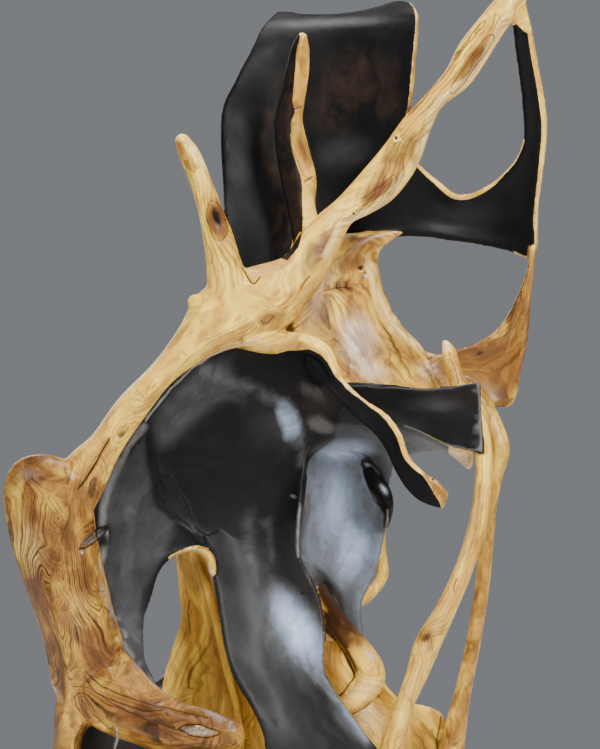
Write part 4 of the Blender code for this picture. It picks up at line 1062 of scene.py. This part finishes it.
def finerAt(chosen, cuts):
    # cuts up the faces that touch the chosen points
    mesh = carving.data
    loops = tableOf(mesh.loops, "vertex_index", kind=np.int32)
    starts = tableOf(mesh.polygons, "loop_start", kind=np.int32)
    faces = np.maximum.reduceat(chosen[loops].astype(np.int8), starts).astype(bool)
    bpy.ops.object.mode_set(mode="EDIT")
    bpy.ops.mesh.select_mode(type="FACE")
    bpy.ops.mesh.select_all(action="DESELECT")
    bpy.ops.object.mode_set(mode="OBJECT")
    mesh.polygons.foreach_set("select", faces)
    bpy.ops.object.mode_set(mode="EDIT")
    bpy.ops.mesh.subdivide(number_cuts=cuts)
    bpy.ops.object.mode_set(mode="OBJECT")
    print("made finer,", int(faces.sum()), "faces")


fields, forced, fine = markFields(pointsOf(carving.data), normalsOf(carving.data))
finerAt(fine, skin["fineCuts"])

# The marks sink in, and the hollows keep the soft waves of the gouge
waves = {
    "long": 14.0, "short": 42.0, "shortShare": 0.35,  # per metre, and the share of the short ones
    "deep": 0.0014,  # metres
    "onWood": 0.35, "onLacquer": 0.65,  # share of their depth on the wood, and what lacquer adds
    "fade": 0.006, "stillBelow": 0.01,  # metres out from the lacquer, and metres above the ground
}
points = pointsOf(carving.data)
normals = normalsOf(carving.data)
fields, forced, fine = markFields(points, normals)
ripple = np.array([
    noise.noise(Vector(p * waves["long"])) + waves["shortShare"] * noise.noise(Vector(p * waves["short"]))
    for p in points
])
_, _, woodGap = nearest(woodTree, points)
_, _, lacquerGap = nearest(lacquerTree, points)
onLacquer = np.clip(1 - lacquerGap / waves["fade"], 0, 1)
deep = waves["onWood"] + waves["onLacquer"] * onLacquer
shift = -fields["sink"] * 0.001 + ripple * waves["deep"] * deep
shift *= np.clip(points[:, 2] / waves["stillBelow"], 0, 1)  # the underside stays flat
points += normals * shift[:, None]
carving.data.vertices.foreach_set("co", points.reshape(-1).astype(np.float32))
carving.data.update()

# Thinned where the form is plain, and left as it is at fine marks and along the lacquer's edge
paint = finishOf(woodGap, lacquerGap, forced)
keep = (fine | (np.abs(paint) < skin["edgeKept"])) & (points[:, 2] > skin["plainBelow"])
thinning = carving.vertex_groups.new(name="thinning")
thinning.add(np.flatnonzero(~keep).tolist(), 1.0, "REPLACE")
carving.data.calc_loop_triangles()
withModifier(
    carving, "DECIMATE", ratio=min(1.0, skin["triangles"] / len(carving.data.loop_triangles)),
    use_collapse_triangulate=True, vertex_group=thinning.name,
)
carving.vertex_groups.clear()
bpy.ops.object.shade_smooth()
carving.data.materials.clear()
print("kept as they are:", int(keep.sum()), "points; thinned to", len(carving.data.polygons), "triangles")

# The finish of each point
finishing = {
    "rounds": 24, "kept": 0.3,  # how often grain and tone are evened out, and each point's own share
    "bendRounds": 4, "bendKept": 0.4, "sharpest": 400,  # turns per metre
    "area": 0.87,  # of the square of the gap between points, about the area round each
    "speck": 0.0014, "grown": 3,  # square metres, and rounds by which a speck is taken out wider
    "deepest": 20,  # millimetres
    "brown": 0.6, "brownest": 1.3, "mostSheen": 1.2,
    "bend": 100,  # turns per metre to one of the shader
}
mesh = carving.data
points = pointsOf(mesh)
normals = normalsOf(mesh)
woodFace, woodSpot, woodGap = nearest(woodTree, points)
lacquerFace, lacquerSpot, lacquerGap = nearest(lacquerTree, points)
fields, forced, fine = markFields(points, normals)
paint = finishOf(woodGap, lacquerGap, forced)
onWood = (woodGap < lacquerGap)[:, None]
corners = np.where(onWood, woodFaces[woodFace], lacquerFaces[lacquerFace])
values = valuesAt(np.where(onWood, woodSpot, lacquerSpot), corners)
edges = tableOf(mesh.edges, "vertices", 2, np.int32)
ends = np.concatenate([edges[:, 0], edges[:, 1]])
others = np.concatenate([edges[:, 1], edges[:, 0]])


def summed(weights):
    return np.bincount(ends, weights=weights, minlength=len(points))


degree = np.maximum(summed(None), 1)


def neighbourMean(table):
    return np.stack([summed(column[others]) for column in table.T], axis=1) / degree[:, None]


def evened(table, kept, rounds):
    for _ in range(rounds):
        table = kept * table + (1 - kept) * neighbourMean(table)
    return table


values = evened(values, finishing["kept"], finishing["rounds"])

# How sharply the surface bends outwards, in turns per metre
span = summed(((points[ends] - points[others]) ** 2).sum(1)) / degree
bend = 2 * ((points - neighbourMean(points)) * normals).sum(1) / np.maximum(span, least["span"])
bend = np.clip(bend, -finishing["sharpest"], finishing["sharpest"])[:, None]
bend = evened(bend, finishing["bendKept"], finishing["bendRounds"])


def patchesOf(joined):
    # the same number for all the points of a patch
    label = np.arange(len(points))
    while True:
        lowest = np.minimum(label[joined[:, 0]], label[joined[:, 1]])
        lower = label.copy()
        np.minimum.at(lower, joined[:, 0], lowest)
        np.minimum.at(lower, joined[:, 1], lowest)
        lower = lower[lower]
        if (lower == label).all():
            return label
        label = lower


# Specks of the wrong finish, smaller than a thumbnail, are taken out
lacquered = paint > 0
patch = patchesOf(edges[lacquered[edges[:, 0]] == lacquered[edges[:, 1]]])
patchArea = np.bincount(patch, weights=span * finishing["area"], minlength=len(points))
speck = patchArea[patch] < finishing["speck"]
side = np.where(speck, ~lacquered, lacquered)
grown = speck.astype(float)[:, None]
for _ in range(finishing["grown"]):
    grown = np.maximum(grown, (neighbourMean(grown) > 0).astype(float))
cleared = np.where(side, 1, -1) * np.maximum(np.abs(paint), skin["edgeKept"])  # clear of the edge
paint = np.clip(np.where(grown[:, 0] > 0, cleared, paint), -finishing["deepest"], finishing["deepest"])
print("specks taken out:", int(speck.sum()), "points")

# the tone, browner under the brown marks, some of which paint shade
tones = np.clip(values[:, 3] + finishing["brown"] * fields["brown"], 0, finishing["brownest"])
unused = np.zeros(len(points))
# Stored with the grain: cracks, silver and painted edge highlights; stains with painted shade and painted
# highlights; the painted sheen, specks and growth lines
stored = {
    "grain": (values[:, 0], values[:, 1], values[:, 2]),
    "finish": (paint, tones, values[:, 4]),
    "wearAndGlint": (fields["dark"], fields["vein"], np.clip(fields["silver"], 0, 1)),
    "stainLightAndShade": (fields["red"], fields["umber"], fields["pale"]),
    "shine": (np.clip(fields["haze"], -1, finishing["mostSheen"]), fields["specks"], fields["lines"]),
    "relief": (fields["rings"], bend[:, 0] / finishing["bend"], fields["flow"]),
    "flow": (fields["flowShare"], unused, unused),
}
for name, columns in stored.items():
    keepVector(mesh, name, np.stack(columns, axis=1))
print("finish stored on", len(points), "points")

bpy.data.objects.remove(source)

# The material: oiled root wood and black satin lacquer, told apart by the paint value
woodLook = {
    "pale": (0.97, 0.66, 0.095), "honey": (0.64, 0.34, 0.052), "brown": (0.19, 0.080, 0.019),
    "deepBrown": (0.070, 0.027, 0.006), "vein": (0.026, 0.010, 0.003), "worn": (0.95, 0.70, 0.29),
    # the grey paints weathered wood and painted edge highlights, the dark brown after the red paints stains
    # and painted shade, and the light grey at the end is a painted highlight
    "silver": (0.44, 0.42, 0.40), "red": (0.105, 0.030, 0.007), "umber": (0.034, 0.014, 0.006),
    "crack": (0.004, 0.003, 0.002), "paintedGlint": (0.70, 0.64, 0.62),
    "rough": 0.32, "fibreRough": 0.16, "silverRough": 0.65, "crackRough": 0.8, "coat": 0.24,
    "wander": 0.05,  # metres by which the grain strays
    "growth": 480,  # millimetres of growth counted for each metre out from the heart
    "ringStray": 70, "burlStray": 20, "flowStray": 11, "flowRipple": 2.2,  # millimetres of growth
    "broadStart": 1.3, "broadApart": 2.3,  # millimetres, and growth rings from one to the next
}
lacquerLook = {
    # the two blue-greys are the painted sheen, strong and faint; the brown paints stains and painted shade
    "deep": (0.0028, 0.0029, 0.0034), "haze": (0.40, 0.50, 0.67), "thin": (0.44, 0.455, 0.48),
    "speck": (0.30, 0.20, 0.14), "umber": (0.030, 0.017, 0.010), "worn": (0.075, 0.072, 0.068),
    "rough": 0.42, "brushRough": 0.12, "cloudRough": 0.12, "hazeSmooth": 0.05, "coat": 0.03,
}
surfaceLook = {"specular": 0.11, "coatRough": 0.25, "bump": 0.55, "metresDeep": 0.0008}
# How the place in the grain is stretched for each pattern: across it, deep into it and along it
drawnOut = {
    "long": (1, 1, 0.2), "flat": (1, 1, 0), "fibre": (620, 620, 24), "pores": (1500, 1500, 100),
    "bands": (55, 55, 55), "mottle": (26, 26, 9), "brushed": (150, 150, 14), "clouds": (20, 20, 7),
    "cloudStray": (1.6, 1.6, 1.6),
}
# How fine each noise is, its detail and, where it isn't half, its roughness
patterns = {
    "wander": (11, 3), "longRings": (15, 2), "burl": (24, 2), "flow": (16, 3), "flowRipple": (60, 2),
    "patchy": (15, 4, 0.6), "broken": (42, 3, 0.6), "fibre": (1, 3, 0.6), "pores": (1, 2),
    "bands": (1, 3), "mottle": (1, 5, 0.62), "worn": (60, 3), "brushed": (1, 4, 0.6),
    "clouds": (1, 4, 0.62), "specks": (420, 3, 0.65), "speckPatch": (34, 4, 0.7),
    "lacquerWorn": (50, 3), "edge": (130, 3), "dust": (520, 3, 0.7), "dustHigh": (300, 4, 0.7),
    "lacquerHigh": (70, 3),
}
# Where each look sets in and where it is whole, and what it goes from and to where not from 0 to 1
spans = {
    "fineStart": (0.45, 0.9), "fineEnd": (0.92, 1.0, 1, 0),
    "broadStart": (0.70, 0.92), "broadEnd": (0.95, 1.0, 1, 0),
    "patchy": (0.38, 0.62), "broken": (0.34, 0.56), "pores": (0.66, 0.8), "honey": (0.34, 0.64),
    "brown": (0.46, 0.90), "deepBrown": (0.64, 0.88), "redBands": (0.35, 0.6), "fibre": (0.45, 0.75),
    "worn": (0.55, 1.1), "paintedGlint": (0.36, 0.6, 1, 0), "umber": (0.2, 1.15), "clouds": (0.28, 0.72),
    "faintClouds": (0.48, 0.78), "hazeTint": (0.05, 0.45), "umberClouds": (0.35, 0.65),
    "specks": (0.66, 0.76), "speckPatch": (0.52, 0.72), "lacquerBend": (0.8, 1.5),
    "lacquerWorn": (0.42, 0.62), "edge": (-0.35, 0.45), "dust": (0.3, 0.6),
}

material = bpy.data.materials.new("rootWoodAndLacquer")
material.use_nodes = True
tree = material.node_tree
shader = tree.nodes["Principled BSDF"]


def node(kind, **settings):
    made = tree.nodes.new(kind)
    for name, value in settings.items():
        setattr(made, name, value)
    return made


def feed(socket, value):
    if isinstance(value, bpy.types.NodeSocket):
        tree.links.new(value, socket)
    elif isinstance(value, tuple) and len(value) == 3 and socket.type == "RGBA":
        socket.default_value = (*value, 1)
    else:
        socket.default_value = value


def fedNode(made, values):
    for socket, value in values.items():
        feed(made.inputs[socket], value)
    return made.outputs


def attribute(name):
    return node("ShaderNodeAttribute", attribute_name=name).outputs["Vector"]


def attributeParts(name):
    return tuple(fedNode(node("ShaderNodeSeparateXYZ"), {0: attribute(name)}))


def reckon(operation, a, b=0.0):
    return fedNode(node("ShaderNodeMath", operation=operation), {0: a, 1: b})[0]


def times(a, b):
    return reckon("MULTIPLY", a, b)


def plus(a, b):
    return reckon("ADD", a, b)


def less(a, b):
    return reckon("SUBTRACT", a, b)


def ramp(value, slope, start):
    return plus(times(value, slope), start)


def reckonVector(operation, a, b=(0, 0, 0)):
    made = fedNode(node("ShaderNodeVectorMath", operation=operation), {0: a, 1: b})
    return made["Value" if operation == "LENGTH" else "Vector"]


def drawn(vector, name):
    return reckonVector("MULTIPLY", vector, drawnOut[name])


def noiseOf(vector, name, output="Fac"):
    scale, detail, *rough = patterns[name]
    settings = {"Vector": vector, "Scale": scale, "Detail": detail, "Roughness": rough[0] if rough else 0.5}
    return fedNode(node("ShaderNodeTexNoise"), settings)[output]


def drawnNoise(vector, name):
    return noiseOf(drawn(vector, name), name)


def between(value, name):
    low, high, *ends = spans[name]
    toLow, toHigh = ends or (0.0, 1.0)
    settings = {"Value": value, "From Min": low, "From Max": high, "To Min": toLow, "To Max": toHigh}
    return fedNode(node("ShaderNodeMapRange", interpolation_type="SMOOTHSTEP"), settings)["Result"]


# The Mix node has a set of sockets for each kind of data, in this order
mixPlaces = {"FLOAT": (0, 2, 3, 0), "RGBA": (0, 6, 7, 2)}


def blend(share, a, b, kind="RGBA"):
    factor, first, second, result = mixPlaces[kind]
    return fedNode(node("ShaderNodeMix", data_type=kind), {factor: share, first: a, second: b})[result]


def blendNumber(share, a, b):
    return blend(share, a, b, "FLOAT")


def layered(colour, *coats):
    for share, coat in coats:
        colour = blend(share, colour, coat)
    return colour


grain = attribute("grain")
paintAt, tone, paintedSheenBase = attributeParts("finish")
dark, vein, silver = attributeParts("wearAndGlint")
red, umber, pale = attributeParts("stainLightAndShade")
hazeAt, speckAt, lineAt = attributeParts("shine")
ringAt, bendAt, flowAt = attributeParts("relief")
flowShare = attributeParts("flow")[0]
spot = node("ShaderNodeTexCoord").outputs["Object"]

# Wood: grain that wanders, growth lines like contours, mottling, fibre and worn edges, with painted
# highlights where the sheen marks fall and painted shade in the brown marks
wander = reckonVector("SUBTRACT", noiseOf(spot, "wander", "Color"), (0.5, 0.5, 0.5))
grainWay = reckonVector("ADD", grain, reckonVector("MULTIPLY", wander, (woodLook["wander"],) * 3))
longGrain = drawn(grainWay, "long")
core = reckonVector("LENGTH", drawn(grainWay, "flat"))
rings = times(core, woodLook["growth"])
rings = plus(rings, times(noiseOf(longGrain, "longRings"), woodLook["ringStray"]))
rings = plus(rings, times(noiseOf(spot, "burl"), times(tone, woodLook["burlStray"])))
flowing = plus(flowAt, times(noiseOf(spot, "flow"), woodLook["flowStray"]))
flowing = plus(flowing, times(noiseOf(spot, "flowRipple"), woodLook["flowRipple"]))


def growthLines(phase):
    # thin lines and fewer broad ones, each dark at its late end
    share = reckon("FRACT", reckon("DIVIDE", phase, ringWide))
    thin = times(between(share, "fineStart"), between(share, "fineEnd"))
    phase = plus(phase, woodLook["broadStart"])
    share = reckon("FRACT", reckon("DIVIDE", phase, ringWide * woodLook["broadApart"]))
    return thin, times(between(share, "broadStart"), between(share, "broadEnd"))


contours, flows = growthLines(plus(rings, ringAt)), growthLines(plus(flowing, ringAt))
fineLine, broadLine = (blendNumber(flowShare, contours[i], flows[i]) for i in (0, 1))
patchy = between(noiseOf(spot, "patchy"), "patchy")
broken = between(noiseOf(spot, "broken"), "broken")
fineStrength = times(plus(ramp(tone, 0.36, 0.08), times(lineAt, 0.42)), ramp(patchy, 0.6, 0.4))
broadStrength = times(
    plus(times(tone, 0.8), times(lineAt, 0.35)), plus(times(patchy, 0.6), times(broken, 0.4))
)
fibre = drawnNoise(grainWay, "fibre")
pores = between(drawnNoise(grain, "pores"), "pores")
bands = drawnNoise(longGrain, "bands")
mottle = drawnNoise(grainWay, "mottle")
worn = times(between(bendAt, "worn"), ramp(noiseOf(spot, "worn"), 0.8, 0.15))
# Painted highlight on the wood where the sheen marks fall
paintedGlint = times(reckon("MAXIMUM", hazeAt, 0), ramp(between(mottle, "paintedGlint"), 0.6, 0.3))
woodColour = layered(
    woodLook["pale"],
    (between(bands, "honey"), woodLook["honey"]),
    (between(plus(mottle, times(tone, 0.30)), "brown"), woodLook["brown"]),
    (times(between(plus(mottle, times(tone, 0.16)), "deepBrown"), tone), woodLook["deepBrown"]),
    (times(red, ramp(between(bands, "redBands"), 0.25, 0.8)), woodLook["red"]),
    # the pale marks: pale patches of the wood, and painted highlights on lit edges
    (times(pale, 0.8), woodLook["worn"]),
    (times(fineLine, fineStrength), woodLook["vein"]),
    (times(broadLine, broadStrength), woodLook["vein"]),
    (times(between(fibre, "fibre"), 0.25), woodLook["brown"]),
    (times(pores, 0.35), woodLook["vein"]),
    (worn, woodLook["worn"]),
    # the painted highlight
    (reckon("MINIMUM", paintedGlint, 0.9), woodLook["paintedGlint"]),
    # the umber marks: dark brown of real stains and of painted shade
    (times(umber, ramp(bands, 0.6, 0.95)), woodLook["brown"]),
    (between(umber, "umber"), woodLook["umber"]),
    (vein, woodLook["vein"]),
)

# Lacquer: near black, with clouds of painted light blue-grey sheen, brush marks, specks and thin worn edges
brushed = drawnNoise(grainWay, "brushed")
clouds = noiseOf(reckonVector("ADD", drawn(grainWay, "clouds"), drawn(wander, "cloudStray")), "clouds")
# Painted sheen: a light blue-grey highlight in the lacquer's colour, from each wall's level and the marks
haze = times(plus(times(paintedSheenBase, 0.6), hazeAt), ramp(between(clouds, "clouds"), 0.5, 0.5))
haze = times(haze, ramp(brushed, 0.3, 0.85))
haze = plus(haze, times(between(clouds, "faintClouds"), 0.008))
haze = reckon("MINIMUM", reckon("MAXIMUM", haze, 0), 1)
sheenColour = blend(between(haze, "hazeTint"), lacquerLook["thin"], lacquerLook["haze"])
specks = between(noiseOf(spot, "specks"), "specks")
speckPatch = plus(times(between(noiseOf(spot, "speckPatch"), "speckPatch"), speckAt), 0.12)
lacquerWorn = times(between(noiseOf(spot, "lacquerWorn"), "lacquerWorn"), 0.8)
lacquerWorn = times(between(bendAt, "lacquerBend"), lacquerWorn)
lacquerColour = layered(
    lacquerLook["deep"],
    (haze, sheenColour),
    # umber on the lacquer: a brown tint of stains and of painted shade
    (times(umber, between(clouds, "umberClouds")), lacquerLook["umber"]),
    (times(specks, speckPatch), lacquerLook["speck"]),
    (lacquerWorn, lacquerLook["worn"]),
)

# The edge between them wavers a little, as a brush leaves it
edgeWaver = times(less(noiseOf(spot, "edge"), 0.5), 1.5)
lacquerShare = between(plus(paintAt, edgeWaver), "edge")
# silver is weathered grey wood, and along some edges a painted highlight
silverShare = times(silver, ramp(between(noiseOf(spot, "dust"), "dust"), 0.5, 0.5))
colour = layered(
    blend(lacquerShare, woodColour, lacquerColour),
    (silverShare, woodLook["silver"]),
    # the cracks' near black, which in the crease inside the elbow is painted shade
    (dark, woodLook["crack"]),
)
feed(shader.inputs["Base Color"], colour)

woodRough = ramp(fibre, woodLook["fibreRough"], woodLook["rough"])
lacquerRough = plus(
    plus(times(brushed, lacquerLook["brushRough"]), times(clouds, lacquerLook["cloudRough"])),
    less(lacquerLook["rough"], times(haze, lacquerLook["hazeSmooth"])),
)
rough = blendNumber(lacquerShare, woodRough, lacquerRough)
rough = blendNumber(silverShare, rough, woodLook["silverRough"])
feed(shader.inputs["Roughness"], blendNumber(dark, rough, woodLook["crackRough"]))

woodHeight = less(plus(times(fibre, 0.35), times(fineLine, -0.25)), times(pores, 0.3))
woodHeight = plus(woodHeight, times(silverShare, noiseOf(spot, "dustHigh")))
lacquerHeight = plus(times(brushed, 0.5), times(noiseOf(spot, "lacquerHigh"), 0.9))
bump = node("ShaderNodeBump")
bump.inputs["Strength"].default_value = surfaceLook["bump"]
bump.inputs["Distance"].default_value = surfaceLook["metresDeep"]
feed(bump.inputs["Height"], blendNumber(lacquerShare, woodHeight, lacquerHeight))
feed(shader.inputs["Normal"], bump.outputs["Normal"])
shader.inputs["Specular IOR Level"].default_value = surfaceLook["specular"]
feed(shader.inputs["Coat Weight"], blendNumber(lacquerShare, woodLook["coat"], lacquerLook["coat"]))
shader.inputs["Coat Roughness"].default_value = surfaceLook["coatRough"]
carving.data.materials.append(material)
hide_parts("elk_carving")
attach(carving, "root")
print("carving finished")

# A plain pale floor and soft studio light
studio = {
    "floorWide": 6.0, "floor": (0.74, 0.735, 0.72), "floorRough": 0.7,
    "world": (0.70, 0.73, 0.78), "worldStrength": 0.28,
    "aim": (0, 0, 0.7),
    "lamps": {  # place, width, strength and colour
        "keyLamp": ((2.3, -3.3, 3.9), 1.7, 420, (1.0, 0.97, 0.93)),
        "leftLamp": ((-3.4, -2.6, 3.2), 1.7, 190, (0.96, 0.98, 1.0)),
        "fillLamp": ((-0.3, -5.2, 1.0), 2.4, 110, (1.0, 0.98, 0.96)),
        "topLamp": ((0.2, 0.4, 3.6), 1.8, 95, (1.0, 0.98, 0.95)),
        "backLamp": ((-1.5, 3.6, 2.2), 2.4, 45, (1.0, 0.98, 0.95)),
    },
    "glareless": ("fillLamp", "leftLamp"),  # these add no glare to the lacquer
}
bpy.ops.object.select_all(action="DESELECT")
bpy.ops.mesh.primitive_plane_add(size=studio["floorWide"], location=(0, 0, 0))
floor = bpy.context.object
floor.name = "studioFloor"
floorMaterial = bpy.data.materials.new("studioFloorPaint")
floorMaterial.use_nodes = True
floorShader = floorMaterial.node_tree.nodes["Principled BSDF"]
floorShader.inputs["Base Color"].default_value = (*studio["floor"], 1)
floorShader.inputs["Roughness"].default_value = studio["floorRough"]
floor.data.materials.append(floorMaterial)
for name, (stand, wide, strength, tint) in studio["lamps"].items():
    aim = Vector(studio["aim"]) - Vector(stand)
    turn = aim.to_track_quat("-Z", "Y").to_euler()
    bpy.ops.object.light_add(type="AREA", location=stand, rotation=turn)
    lamp = bpy.context.object
    lamp.name = name
    lamp.data.shape = "DISK"
    lamp.data.size = wide
    lamp.data.energy = strength
    lamp.data.color = tint
    lamp.visible_glossy = name not in studio["glareless"]
world = bpy.data.worlds.new("studioWorld")
world.use_nodes = True
background = world.node_tree.nodes["Background"]
background.inputs["Color"].default_value = (*studio["world"], 1)
background.inputs["Strength"].default_value = studio["worldStrength"]
bpy.context.scene.world = world
print("floor and lights set")
